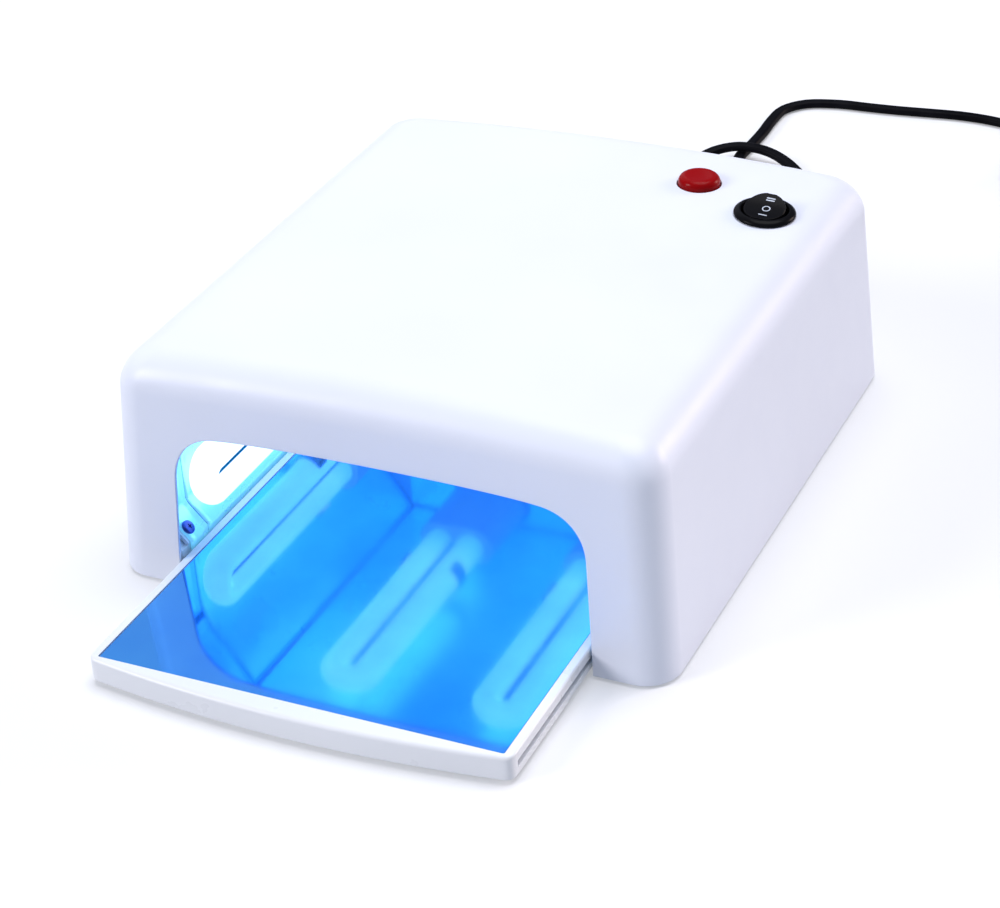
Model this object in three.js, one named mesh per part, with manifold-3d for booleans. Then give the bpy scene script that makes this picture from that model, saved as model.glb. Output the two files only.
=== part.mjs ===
// UV curing lamp with four U-shaped tubes and a pull-out mirror tray, in millimetres.
// Origin: on the surface it stands on, under the middle of the lamp with its tray part pulled out.
// +X is to the right seen from the front, +Y towards the back, +Z up.

import * as THREE from 'three';
import { mergeVertices } from 'three/addons/utils/BufferGeometryUtils.js';
import Module from 'manifold-3d';

const wasm = await Module();
wasm.setup();

// ---------- driving dimensions ----------

const gap = 0.3; // clearance between pieces that touch

// Housing: a rounded box that narrows upwards and has a gently domed top.
const bodyWidth = 207.5; // across the bottom
const frontY = -80;
const backY = 148;
const edgeHeight = 83.8; // of the top's long edges, before rounding
const domeRise = 4.36; // how far the middle of the top stands above its edges
const sideLean = 4.97; // how far each side leans in over the edge height
const backLean = 5.2;
const topRound = 12.3;
const cornerRound = 12.4;
const wall = 2.5;
const housingLift = 1.0;

// Opening in the front wall
const openingHalfBottom = 77.7;
const openingHalfTop = 75.4;
const openingCornerZ = 42;
const openingShoulderX = 58;
const openingShoulderZ = 60.7;
const openingCrownZ = 62.1;

// Tray, part pulled out at rest
const trayHalf = 76.2;
const trayFrontCorner = frontY - 60;
const trayBulge = 5; // of the curved front edge, ahead of its corners
const trayBack = frontY + 95;
const trayBottom = 2;
const trayTop = 11;
const trayDeck = 7.5; // underside of the top plate
const grooveLow = 5.0;
const grooveHigh = 7.4;
const grooveFloor = 73.4;
const mirrorHalf = 73;
const mirrorFront = frontY - 58.5;
const mirrorBack = trayBack - 2.5;
const mirrorThick = 0.7;

// Base frame
const baseBottom = 1.3;
const baseTop = 4.3;
const channelHalf = 77.9;
const baseWallTop = 12.0;
const channelBack = frontY + 158;

// Reflector chamber, inside surface
const chamberFront = frontY + 8;
const chamberBack = frontY + 150;
const chamberSkin = 1.5;
const chamberHalfLow = 77.6;
const chamberHalfWide = 85.4;
const chamberFootZ = 12.3;
const chamberFlareZ = 13.2;
const chamberWideZ = 21.5;
const chamberWideTopZ = 47;
const chamberHaunch = [80, 56];
const ceilingHalf = 66;
const ceilingZ = 75.5;
const filmThick = 0.3;

// Tubes
const glassRadius = 5.4;
const legSpacing = 12.8;
const glassLength = 99.4;
const tubeBaseLength = 31.4;
const tubeBaseHalf = 7.7;
const tubeBaseTall = 15.4; // half the height of the oval base
const sideTubeX = 75.5;
const sideTubeZ = 32;
const sideTubeTip = frontY + 12.6;
const ceilingTubeX = 30;
const ceilingTubeZ = 65;
const ceilingTubeTip = frontY + 17;
const socketLength = 22;
const socketHalf = 8.2;
const socketTall = 16; // half the height of the oval socket
const clipFromTip = 78;

// Controls, set into the top
const buttonAt = [44, frontY + 188];
const rockerAt = [74.5, frontY + 173.5];
const buttonHole = 8.25;
const rockerHole = 10.1;
const rockerTilt = THREE.MathUtils.degToRad(13);

// Cord: flat twin lead
const cordWide = 5.4;
const cordThick = 3.4;
const cordExit = [60, 20]; // x and z in the back wall
const reliefOut = 26; // how far the sleeve stands out from its root
const reliefRootY = backY - 1.24; // outer face of the leaning back wall at the cord's height
const coilCentre = [138, 343];
const coilOuterTurn = 33.7;
const coilInnerTurn = 28.3;
const coilBottom = 0.9;

// ---------- materials ----------

function finish(color, roughness, metalness = 0) {
  return new THREE.MeshStandardMaterial({ color, roughness, metalness });
}

const whitePlastic = finish(0xf4f5fb, 0.3);
const greyPlastic = finish(0xd6d8de, 0.5);
const blackPlastic = finish(0x121214, 0.4);
const redPlastic = finish(0xb5121c, 0.25);
const mirrorFilm = finish(0x9fd8ff, 0.05, 1);
const tubeGlass = finish(0xd8f4ff, 0.1);
const steel = finish(0xb8bbc0, 0.3, 1);
const board = finish(0x1f5a37, 0.5);
const copper = finish(0xa4592c, 0.4, 0.8);
const rubber = finish(0x1b1b1d, 0.8);
const cordSkin = finish(0x101012, 0.6);

// ---------- shape helpers ----------

function toSolid(geometry) {
  const bare = geometry.clone();
  bare.deleteAttribute('normal');
  bare.deleteAttribute('uv');
  const merged = mergeVertices(bare, 1e-4);
  const vertProperties = new Float32Array(merged.attributes.position.array);
  const triVerts = new Uint32Array(merged.index.array);
  return new wasm.Manifold(new wasm.Mesh({ numProp: 3, vertProperties, triVerts }));
}

function toGeometry(solid) {
  const mesh = solid.getMesh();
  const geometry = new THREE.BufferGeometry();
  geometry.setAttribute('position', new THREE.BufferAttribute(mesh.vertProperties, 3));
  geometry.setIndex(new THREE.BufferAttribute(mesh.triVerts, 1));
  geometry.computeVertexNormals();
  return geometry;
}

function cut(geometry, ...tools) {
  const start = toSolid(geometry);
  return toGeometry(tools.reduce((solid, tool) => solid.subtract(toSolid(tool)), start));
}

function join(geometry, ...others) {
  const start = toSolid(geometry);
  return toGeometry(others.reduce((solid, other) => solid.add(toSolid(other)), start));
}

function common(geometry, other) {
  return toGeometry(toSolid(geometry).intersect(toSolid(other)));
}

function box(x0, x1, y0, y1, z0, z1) {
  const geometry = new THREE.BoxGeometry(x1 - x0, y1 - y0, z1 - z0);
  return geometry.translate((x0 + x1) / 2, (y0 + y1) / 2, (z0 + z1) / 2);
}

// A cylinder from low to high along an axis, centred on the two other coordinates in their order.
function rod(axis, radius, a, b, low, high, sides = 16) {
  const geometry = new THREE.CylinderGeometry(radius, radius, high - low, sides);
  const middle = (low + high) / 2;
  if (axis === 'x') return geometry.rotateZ(-Math.PI / 2).translate(middle, a, b);
  if (axis === 'y') return geometry.translate(a, middle, b);
  return geometry.rotateX(Math.PI / 2).translate(a, b, middle);
}

// A profile of [radius, height] points turned about the Z axis.
function turned(profile, sides = 24) {
  const points = profile.map(([radius, height]) => new THREE.Vector2(radius, height));
  return new THREE.LatheGeometry(points, sides).rotateX(Math.PI / 2);
}

function outline(points) {
  return new THREE.Shape(points.map(([a, b]) => new THREE.Vector2(a, b)));
}

// An outline in X and Z, pushed along Y.
function prismY(shape, y0, y1, curveSegments = 2) {
  const geometry = new THREE.ExtrudeGeometry(shape, { depth: y1 - y0, bevelEnabled: false, curveSegments });
  return geometry.rotateX(Math.PI / 2).translate(0, y1, 0);
}

// An outline in X and Y, pushed along Z.
function prismZ(shape, z0, z1, curveSegments = 2) {
  const geometry = new THREE.ExtrudeGeometry(shape, { depth: z1 - z0, bevelEnabled: false, curveSegments });
  return geometry.translate(0, 0, z0);
}

// An outline in Y and Z, pushed along X.
function prismX(shape, x0, x1, curveSegments = 2) {
  const geometry = new THREE.ExtrudeGeometry(shape, { depth: x1 - x0, bevelEnabled: false, curveSegments });
  const turn = new THREE.Matrix4().makeBasis(
    new THREE.Vector3(0, 1, 0), new THREE.Vector3(0, 0, 1), new THREE.Vector3(1, 0, 0));
  return geometry.applyMatrix4(turn).translate(x0, 0, 0);
}

function roundedOutline(halfWide, halfTall, radius) {
  const shape = new THREE.Shape();
  shape.absarc(halfWide - radius, halfTall - radius, radius, 0, Math.PI / 2);
  shape.absarc(radius - halfWide, halfTall - radius, radius, Math.PI / 2, Math.PI);
  shape.absarc(radius - halfWide, radius - halfTall, radius, Math.PI, 1.5 * Math.PI);
  shape.absarc(halfWide - radius, radius - halfTall, radius, 1.5 * Math.PI, 2 * Math.PI);
  shape.closePath();
  return shape;
}

// A closed skin through rings of equal point counts. Point i of a ring pairs with point n-1-i,
// so each end is closed by strips between the pairs.
function loft(rings) {
  const count = rings[0].length;
  const positions = rings.flat().flatMap((point) => [point.x, point.y, point.z]);
  const index = [];
  for (let level = 0; level + 1 < rings.length; level += 1) {
    for (let i = 0; i < count; i += 1) {
      const a = level * count + i;
      const b = level * count + (i + 1) % count;
      index.push(a, b, b + count, a, b + count, a + count);
    }
  }
  const top = (rings.length - 1) * count;
  for (let i = 0; i + 1 < count / 2; i += 1) {
    const j = count - 1 - i;
    index.push(i, j, i + 1, j, j - 1, i + 1);
    index.push(top + i, top + i + 1, top + j, top + j, top + i + 1, top + j - 1);
  }
  const geometry = new THREE.BufferGeometry();
  geometry.setAttribute('position', new THREE.Float32BufferAttribute(positions, 3));
  geometry.setIndex(index);
  return geometry;
}

const lamp = new THREE.Group();

function add(name, geometry, material, parent = lamp) {
  const mesh = new THREE.Mesh(geometry, material);
  mesh.name = name;
  parent.add(mesh);
  return mesh;
}

// ---------- housing ----------

function domeLift(x, z) {
  const across = x / (bodyWidth / 2);
  const up = z / edgeHeight;
  return domeRise * up * up * (1 - across * across);
}

function domeSlope(x) {
  return Math.atan(2 * domeRise * x / (bodyWidth / 2) ** 2);
}

function housingRing(z, inset) {
  const half = bodyWidth / 2 - sideLean * z / edgeHeight - inset;
  const front = frontY + sideLean * z / edgeHeight + inset;
  const back = backY - backLean * z / edgeHeight - inset;
  const radius = Math.max(cornerRound - 0.6 * inset, 3);
  const arcSteps = 4;
  const edgeSteps = 6;
  const nearRow = [];
  for (let i = 0; i <= arcSteps; i += 1) {
    const angle = i / arcSteps * Math.PI / 2;
    nearRow.push([-half + radius * (1 - Math.cos(angle)), radius * (1 - Math.sin(angle))]);
  }
  for (let i = 1; i < edgeSteps; i += 1) {
    nearRow.push([(half - radius) * (2 * i / edgeSteps - 1), 0]);
  }
  for (let i = arcSteps; i >= 0; i -= 1) {
    const angle = i / arcSteps * Math.PI / 2;
    nearRow.push([half - radius * (1 - Math.cos(angle)), radius * (1 - Math.sin(angle))]);
  }
  const place = (x, y) => new THREE.Vector3(x, y, z + domeLift(x, z));
  const frontRow = nearRow.map(([x, step]) => place(x, front + step));
  const backRow = nearRow.map(([x, step]) => place(x, back - step)).reverse();
  return [...frontRow, ...backRow];
}

// The housing's outside for skin 0, or its inside for skin = wall.
function housingSolid(skin, bottom) {
  const radius = topRound - skin;
  const roundSteps = 4;
  const rings = [housingRing(bottom, skin)];
  for (let i = 0; i <= roundSteps; i += 1) {
    const angle = i / roundSteps * Math.PI / 2;
    const z = edgeHeight - topRound + radius * Math.sin(angle);
    rings.push(housingRing(z, skin + radius * (1 - Math.cos(angle))));
  }
  return loft(rings);
}

function openingOutline() {
  const shape = new THREE.Shape();
  const shoulder = openingShoulderZ;
  shape.moveTo(-openingHalfBottom, -5);
  shape.lineTo(openingHalfBottom, -5);
  shape.lineTo(openingHalfTop, openingCornerZ);
  shape.bezierCurveTo(openingHalfTop - 0.2, 52, 69, shoulder - 0.6, openingShoulderX, shoulder);
  shape.quadraticCurveTo(0, 2 * openingCrownZ - shoulder, -openingShoulderX, shoulder);
  shape.bezierCurveTo(-69, shoulder - 0.6, -openingHalfTop + 0.2, 52, -openingHalfTop, openingCornerZ);
  shape.closePath();
  return shape;
}

// A group that sits on the domed top at x, y, with +Z square to the surface there.
function seatOnTop([x, y]) {
  const seat = new THREE.Group();
  seat.position.set(x, y, edgeHeight + domeLift(x, edgeHeight));
  seat.rotation.y = domeSlope(x);
  seat.updateMatrixWorld();
  lamp.add(seat);
  return seat;
}

const buttonSeat = seatOnTop(buttonAt);
const rockerSeat = seatOnTop(rockerAt);

const screwPosts = [[-93.5, 14], [93.5, 14], [-94, 214], [94, 214]];
const screwPostRadius = 3.5;
const screwPilot = 1.6;
const boardPostX = [-14.5, 14.5]; // posts under the top that carry the button's board
const ventCount = 9;
const ventPitch = 9;
const ventLeftX = -66;

function housing() {
  const postBottom = baseTop + gap;
  const posts = screwPosts.map(([x, d]) => {
    return rod('z', screwPostRadius, x, frontY + d, postBottom, edgeHeight - 3, 12);
  });
  const pilots = screwPosts.map(([x, d]) => rod('z', screwPilot, x, frontY + d, 0, postBottom + 12, 10));
  const boardPosts = boardPostX.flatMap((x) => [
    rod('z', 2.6, x, 0, -15.0, -wall + 0.5, 10),
    rod('z', 1.2, x, 0, -18.0, -14.0, 10),
  ]);
  boardPosts.forEach((post) => post.applyMatrix4(buttonSeat.matrixWorld));
  const holes = [
    rod('z', buttonHole, 0, 0, -8, 4, 20).applyMatrix4(buttonSeat.matrixWorld),
    rod('z', rockerHole, 0, 0, -8, 4, 20).applyMatrix4(rockerSeat.matrixWorld),
    rod('y', 5.6, cordExit[0], cordExit[1], backY - 12, backY + 5, 16),
    prismY(openingOutline(), frontY - 5, frontY + 8, 5),
  ];
  for (let i = 0; i < ventCount; i += 1) {
    const x = ventLeftX + i * ventPitch;
    holes.push(box(x - 1.75, x + 1.75, backY - 12, backY + 5, 38, 66));
  }
  const shell = cut(housingSolid(0, housingLift), housingSolid(wall, -3));
  const filled = join(shell, ...posts, ...boardPosts);
  return common(cut(filled, ...pilots, ...holes), housingSolid(0, housingLift));
}

add('top_housing', housing(), whitePlastic);

// ---------- base frame ----------

const footAt = [[-90, 34], [90, 34], [-90, 192], [90, 192]];
const footStem = 2.2;
const boardSlotX = [-84, 26];
const timerBoardY = frontY + 214.8;

function baseFrame() {
  const inside = wall + gap;
  const half = bodyWidth / 2 - inside - 0.3;
  const front = frontY + inside + 0.3;
  const back = backY - inside - 0.3;
  const round = 11.2;
  const plan = new THREE.Shape();
  plan.moveTo(-channelHalf, front);
  plan.lineTo(-channelHalf, channelBack);
  plan.lineTo(channelHalf, channelBack);
  plan.lineTo(channelHalf, front);
  plan.lineTo(half - round, front);
  plan.absarc(half - round, front + round, round, -Math.PI / 2, 0);
  plan.lineTo(half, back - round);
  plan.absarc(half - round, back - round, round, 0, Math.PI / 2);
  plan.lineTo(round - half, back);
  plan.absarc(round - half, back - round, round, Math.PI / 2, Math.PI);
  plan.lineTo(-half, front + round);
  plan.absarc(round - half, front + round, round, Math.PI, 1.5 * Math.PI);
  const plate = prismZ(plan, baseBottom, baseTop, 2);
  const pieces = [];
  for (const side of [-1, 1]) {
    const span = (a, b) => [Math.min(side * a, side * b), Math.max(side * a, side * b)];
    const [wall0, wall1] = span(channelHalf, channelHalf + 2);
    pieces.push(box(wall0, wall1, front + 1, channelBack, baseTop - 1, baseWallTop));
    const [tongue0, tongue1] = span(grooveFloor + 0.5, channelHalf + 0.5);
    pieces.push(box(tongue0, tongue1, front + 2, channelBack - 2, grooveLow + gap, grooveHigh - gap));
    const lug = [[79, 4], [85.03, 4], [85.03, 18.1], [79.9, 12.6], [79, 11.6]];
    pieces.push(prismY(outline(lug.map(([x, z]) => [side * x, z])), frontY + 6, frontY + 18));
  }
  for (const x of boardSlotX) {
    pieces.push(box(x - 3, x + 3, timerBoardY - 4, timerBoardY + 3, baseTop - 1, 76));
  }
  const holes = [];
  for (const [x, d] of screwPosts) {
    holes.push(rod('z', screwPilot + 0.2, x, frontY + d, 0, 8, 10));
    holes.push(rod('z', 3.4, x, frontY + d, 0, 3.2, 16));
  }
  for (const [x, d] of footAt) holes.push(rod('z', footStem + 0.4, x, frontY + d, 0, 8, 12));
  const [slotLeft, slotRight] = boardSlotX;
  holes.push(box(slotLeft + 0.7, slotRight - 0.7, timerBoardY - 1.15, timerBoardY + 1.15, 40.5, 80));
  for (const side of [-1, 1]) holes.push(chamberScrewTool(side, 1.4, 12));
  return cut(join(plate, ...pieces), ...holes);
}

// The chamber screws go through the flared foot of the chamber's side wall, square to it.
const chamberScrewY = frontY + 12;
const chamberScrewZ = 16;
const flare = new THREE.Vector2(chamberHalfWide - chamberHalfLow, chamberWideZ - chamberFlareZ).normalize();

function chamberScrewFrame(side) {
  const x = chamberHalfLow + (chamberScrewZ - chamberFlareZ) * flare.x / flare.y;
  const inward = new THREE.Vector3(-side * flare.y, 0, flare.x);
  const turn = new THREE.Quaternion().setFromUnitVectors(new THREE.Vector3(0, 0, 1), inward);
  return new THREE.Matrix4().compose(
    new THREE.Vector3(side * x, chamberScrewY, chamberScrewZ), turn, new THREE.Vector3(1, 1, 1));
}

function chamberScrewTool(side, radius, reach) {
  return rod('z', radius, 0, 0, -reach, 4, 12).applyMatrix4(chamberScrewFrame(side));
}

add('base_frame', baseFrame(), greyPlastic);

function baseScrew() {
  return turned([[0, -0.2], [2.4, -0.2], [3, 0.4], [3, 1.5], [1.2, 1.5], [1.2, 11], [0, 12.5]], 10);
}

screwPosts.forEach(([x, d], i) => {
  add(`base_screw_${i + 1}`, baseScrew(), steel).position.set(x, frontY + d, 1.6);
});

function foot() {
  return turned([[0, 0], [5.4, 0], [6, 0.5], [6, baseBottom - gap], [footStem, baseBottom - gap],
    [footStem, 3.9], [0, 3.9]], 12);
}

footAt.forEach(([x, d], i) => {
  add(`foot_${i + 1}`, foot(), rubber).position.set(x, frontY + d, 0);
});

// ---------- reflector chamber and its lining ----------

// One side's inside surface from foot to ceiling, moved in by a depth.
function sideProfile(depth) {
  return [
    [chamberHalfLow - depth, chamberFootZ],
    [chamberHalfLow - depth, chamberFlareZ + 0.3 * depth],
    [chamberHalfWide - depth, chamberWideZ + 0.3 * depth],
    [chamberHalfWide - depth, chamberWideTopZ - 0.2 * depth],
    [chamberHaunch[0] - 0.9 * depth, chamberHaunch[1] - 0.5 * depth],
    [ceilingHalf - 0.6 * depth, ceilingZ - depth],
  ];
}

function band(near, far) {
  return outline([...near, ...far.slice().reverse()]);
}

function mirrored(points) {
  return points.map(([x, z]) => [-x, z]).reverse();
}

function archPoints(depth) {
  const right = sideProfile(depth);
  return [...right, ...mirrored(right)];
}

function socketHoles() {
  const wide = socketHalf + 0.5;
  const tall = socketTall + 0.5;
  const through = (shape, x, z) => prismY(shape, chamberBack - 4, chamberBack + 4).translate(x, 0, z);
  return [-1, 1].flatMap((side) => [
    through(roundedOutline(wide, tall, wide - 0.1), side * sideTubeX, sideTubeZ),
    through(roundedOutline(tall, wide, wide - 0.1), side * ceilingTubeX, ceilingTubeZ),
  ]);
}

function chamber() {
  const arch = prismY(band(archPoints(0), archPoints(-chamberSkin)), chamberFront, chamberBack + 0.5);
  const backPlate = prismY(outline(archPoints(-chamberSkin)), chamberBack, chamberBack + chamberSkin);
  const screwHoles = [-1, 1].map((side) => chamberScrewTool(side, 1.4, 8));
  return cut(join(arch, backPlate), ...socketHoles(), ...screwHoles);
}

add('reflector_chamber', chamber(), whitePlastic);

const filmFront = chamberFront + 1;
const filmBack = chamberBack - 1;
const clipMidY = sideTubeTip + clipFromTip;
const ceilingClipMidY = ceilingTubeTip + clipFromTip;
const clipSlotHalf = [3.8, 4.8]; // along Y, and across the clip's foot

function sideFilm(side) {
  const near = sideProfile(gap);
  const far = sideProfile(gap + filmThick);
  near[0][1] += 0.5;
  far[0][1] += 0.5;
  const shape = outline([...near, ...far.reverse()].map(([x, z]) => [side * x, z]));
  const [along, across] = clipSlotHalf;
  const clipSlot = box(-4, 4, clipMidY - along, clipMidY + along, sideTubeZ - across, sideTubeZ + across)
    .translate(side * (chamberHalfWide - 1.4), 0, 0);
  return cut(prismY(shape, filmFront, filmBack), clipSlot, chamberScrewTool(side, 1.4, 2));
}

function ceilingFilm() {
  const half = ceilingHalf - 2;
  const sheet = box(-half, half, filmFront, filmBack, ceilingZ - gap - filmThick, ceilingZ - gap);
  const [along, across] = clipSlotHalf;
  const y0 = ceilingClipMidY - along;
  const y1 = ceilingClipMidY + along;
  const slots = [-ceilingTubeX, ceilingTubeX].map((x) => {
    return box(x - across, x + across, y0, y1, ceilingZ - 5, ceilingZ + 1);
  });
  return cut(sheet, ...slots);
}

function backFilm() {
  const low = chamberBack - gap - filmThick;
  const half = sideTubeX - socketHalf - 2;
  const sheet = box(-half, half, low, low + filmThick, chamberFootZ + 0.5, ceilingZ - 2.5);
  return cut(sheet, ...socketHoles());
}

add('mirror_film_left', sideFilm(-1), mirrorFilm);
add('mirror_film_right', sideFilm(1), mirrorFilm);
add('mirror_film_ceiling', ceilingFilm(), mirrorFilm);
add('mirror_film_back', backFilm(), mirrorFilm);

function chamberScrew() {
  return turned([[0, -8], [1.05, -7], [1.05, 0.9], [2.6, 0.9], [2.6, 1.5], [1.8, 2.1], [0, 2.2]], 14);
}

add('chamber_screw_left', chamberScrew().applyMatrix4(chamberScrewFrame(-1)), steel);
add('chamber_screw_right', chamberScrew().applyMatrix4(chamberScrewFrame(1)), steel);

// ---------- tubes ----------

// Each tube set is drawn pointing along +Y from its tip, its two legs one above the other,
// and its clip reaching towards +X.
class TubePath extends THREE.Curve {
  getPoint(t, target = new THREE.Vector3()) {
    const radius = legSpacing / 2;
    const leg = glassLength - glassRadius - radius;
    const bend = Math.PI * radius;
    const along = t * (2 * leg + bend);
    const middle = glassRadius + radius;
    if (along < leg) return target.set(0, glassLength - along, radius);
    if (along > leg + bend) return target.set(0, middle + along - leg - bend, -radius);
    const angle = (along - leg) / radius;
    return target.set(0, middle - radius * Math.sin(angle), radius * Math.cos(angle));
  }
}

function circleShape(radius, sides) {
  const points = [];
  for (let i = 0; i < sides; i += 1) {
    const angle = 2 * Math.PI * i / sides;
    points.push([radius * Math.cos(angle), radius * Math.sin(angle)]);
  }
  return outline(points);
}

function glass() {
  return new THREE.ExtrudeGeometry(circleShape(glassRadius, 8), { steps: 26, extrudePath: new TubePath() });
}

const baseFrontY = glassLength + gap;
const baseEndY = baseFrontY + tubeBaseLength;
const pinHeights = [-11.5, 11.5];

function tubeBase() {
  const oval = roundedOutline(tubeBaseHalf, tubeBaseTall, tubeBaseHalf - 0.1);
  const body = prismY(oval, baseFrontY, baseEndY);
  const post = box(-4.5, 4.5, baseEndY - 1, baseEndY + 16, -8.5, 8.5);
  const pins = pinHeights.map((z) => rod('y', 1.0, 0, z, baseEndY - 1, baseEndY + 6.5, 8));
  return join(body, post, ...pins);
}

function tubeSocket(flangeY) {
  const front = baseEndY + 0.4;
  const oval = roundedOutline(socketHalf, socketTall, socketHalf - 0.1);
  const body = prismY(oval, front, front + socketLength);
  const flange = box(-11, 11, flangeY, flangeY + 2, -18.5, 18.5);
  const well = box(-5, 5, front - 1, front + 17, -9, 9);
  const pinHoles = pinHeights.map((z) => rod('y', 1.4, 0, z, front - 1, front + 8, 8));
  return cut(join(body, flange), well, ...pinHoles);
}

function tubeClip() {
  const inner = glassRadius + 0.35;
  const outer = inner + 1;
  const reach = legSpacing / 2;
  const y0 = clipFromTip - 3;
  const y1 = clipFromTip + 3;
  const ring = prismY(roundedOutline(outer, reach + outer, outer - 0.05), y0, y1);
  const space = prismY(roundedOutline(inner, reach + inner, inner - 0.05), y0 - 1, y1 + 1);
  const mouth = box(-outer - 1, -1, y0 - 1, y1 + 1, -reach - 3, reach + 3);
  const foot = box(outer - 0.5, chamberHalfWide - sideTubeX - gap, y0, y1, -4, 4);
  return join(cut(ring, space, mouth), foot);
}

function tubeSet(name, x, tip, z, turn) {
  const group = new THREE.Group();
  group.position.set(x, tip, z);
  group.rotation.y = turn;
  lamp.add(group);
  const flangeY = chamberBack + chamberSkin + gap - tip;
  add(`tube_glass_${name}`, glass(), tubeGlass, group);
  add(`tube_base_${name}`, tubeBase(), whitePlastic, group);
  add(`tube_socket_${name}`, tubeSocket(flangeY), whitePlastic, group);
  add(`tube_clip_${name}`, tubeClip(), steel, group);
}

tubeSet('left', -sideTubeX, sideTubeTip, sideTubeZ, Math.PI);
tubeSet('right', sideTubeX, sideTubeTip, sideTubeZ, 0);
tubeSet('ceiling_left', -ceilingTubeX, ceilingTubeTip, ceilingTubeZ, -Math.PI / 2);
tubeSet('ceiling_right', ceilingTubeX, ceilingTubeTip, ceilingTubeZ, -Math.PI / 2);

// ---------- ballasts and timer electronics ----------

const chokeWide = 38;
const chokePitch = 42;
const chokeLeftX = -76;

function choke() {
  const low = baseTop + gap;
  const core = box(-chokeWide / 2, chokeWide / 2, -8, 8, low, low + 32);
  const winding = prismY(roundedOutline(12, 11, 3), -17, 17, 1).translate(0, 0, low + 16);
  const feet = box(-chokeWide / 2, chokeWide / 2, -14, 14, low, low + 1.5);
  return join(core, winding, feet);
}

for (let i = 0; i < 4; i += 1) {
  add(`choke_${i + 1}`, choke(), copper).position.set(chokeLeftX + i * chokePitch, frontY + 186, 0);
}

const boardFaceY = timerBoardY - 0.8;

add('timer_board', box(boardSlotX[0] + 1, boardSlotX[1] - 1, boardFaceY, boardFaceY + 1.6, 41, 75), board);
add('board_relay', box(-62, -43, boardFaceY - 15.3, boardFaceY - gap, 50, 65.5), blackPlastic);
add('board_capacitor', rod('y', 8, -14, 58, boardFaceY - 16.3, boardFaceY - gap, 18), blackPlastic);

function terminalBlock() {
  const low = baseTop + gap;
  const block = box(75, 87, frontY + 176, frontY + 204, low, low + 12);
  const wells = [182, 190, 198].map((d) => rod('z', 2.1, 81, frontY + d, low + 7, low + 14, 10));
  return cut(block, ...wells);
}

add('terminal_block', terminalBlock(), whitePlastic);

// ---------- start button, on its own seat ----------

function buttonCap() {
  const springPost = [[0, -5.6], [2, -5.6], [2, 2.2], [6.3, 2.2]];
  const skirt = [[6.3, -4.1], [9.4, -4.1], [9.4, -2.9], [7.8, -2.9]];
  const crown = [[7.8, 0.9], [7.35, 2.2], [6.5, 2.95], [5.2, 3.3], [0, 3.05]];
  return turned([...springPost, ...skirt, ...crown], 20);
}

class Helix extends THREE.Curve {
  constructor(radius, low, high, turns) {
    super();
    Object.assign(this, { radius, low, high, turns });
  }

  getPoint(t, target = new THREE.Vector3()) {
    const angle = 2 * Math.PI * this.turns * t;
    return target.set(this.radius * Math.cos(angle), this.radius * Math.sin(angle),
      this.low + (this.high - this.low) * t);
  }
}

function buttonSpring() {
  const path = new Helix(3.6, -8.2, 1.5, 4);
  return new THREE.ExtrudeGeometry(circleShape(0.35, 5), { steps: 32, extrudePath: path });
}

function buttonSwitch() {
  return join(box(-6, 6, -6, 6, -15, -9), rod('z', 1.75, 0, 0, -9.5, -8, 12));
}

function buttonBoard() {
  const holes = boardPostX.map((x) => rod('z', 1.6, x, 0, -20, -10, 10));
  return cut(box(-18, 18, -11, 11, -16.9, -15.3), ...holes);
}

add('button_cap', buttonCap(), redPlastic, buttonSeat);
add('button_spring', buttonSpring(), steel, buttonSeat);
add('button_switch', buttonSwitch(), blackPlastic, buttonSeat);
add('button_board', buttonBoard(), board, buttonSeat);

// ---------- three-position rocker, on its own seat ----------

const bladeOffsets = [-5.5, 0, 5.5];
const pivotZ = 0.5;

function rockerBody() {
  const barrel = [[0, -18], [9.8, -18], [9.8, 0.3]];
  const bezel = [[11.3, 0.3], [11.2, 1.2], [10.2, 2.1], [8.9, 2.3], [8.7, 1.6]];
  const well = [[8.7, -9.2], [0, -9.2]];
  const slots = bladeOffsets.map((y) => box(-2.7, 2.7, y - 0.7, y + 0.7, -19, -14.7));
  return cut(turned([...barrel, ...bezel, ...well], 24), ...slots);
}

// The rocker turns inside its own cylinder about the pivot, so its ends keep their clearance.
function rocker() {
  const disc = rod('z', 7.6, 0, 0, -8, 8, 24);
  const swing = rod('x', 8.0, 0, pivotZ, -8, 8, 24);
  const hollowTop = new THREE.Shape();
  hollowTop.moveTo(-9, 12);
  hollowTop.lineTo(-9, 4.4);
  hollowTop.quadraticCurveTo(0, 1.6, 9, 4.4);
  hollowTop.lineTo(9, 12);
  const solid = cut(common(disc, swing), prismX(hollowTop, -9, 9, 5));
  solid.translate(0, 0, -pivotZ).rotateX(rockerTilt).translate(0, 0, pivotZ);
  return solid;
}

add('rocker_body', rockerBody(), blackPlastic, rockerSeat);
add('rocker', rocker(), blackPlastic, rockerSeat);
bladeOffsets.forEach((y, i) => {
  add(`rocker_blade_${i + 1}`, box(-2.4, 2.4, y - 0.4, y + 0.4, -26, -15), copper, rockerSeat);
});

// ---------- tray ----------

function trayOutline() {
  const shape = new THREE.Shape();
  const corner = 2.6;
  const front = trayFrontCorner;
  shape.moveTo(trayHalf, trayBack);
  shape.lineTo(-trayHalf, trayBack);
  shape.lineTo(-trayHalf, front + corner);
  shape.quadraticCurveTo(-trayHalf, front, corner - trayHalf, front - 0.5);
  shape.quadraticCurveTo(0, front + 0.5 - 2 * trayBulge, trayHalf - corner, front - 0.5);
  shape.quadraticCurveTo(trayHalf, front, trayHalf, front + corner);
  shape.closePath();
  return shape;
}

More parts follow.
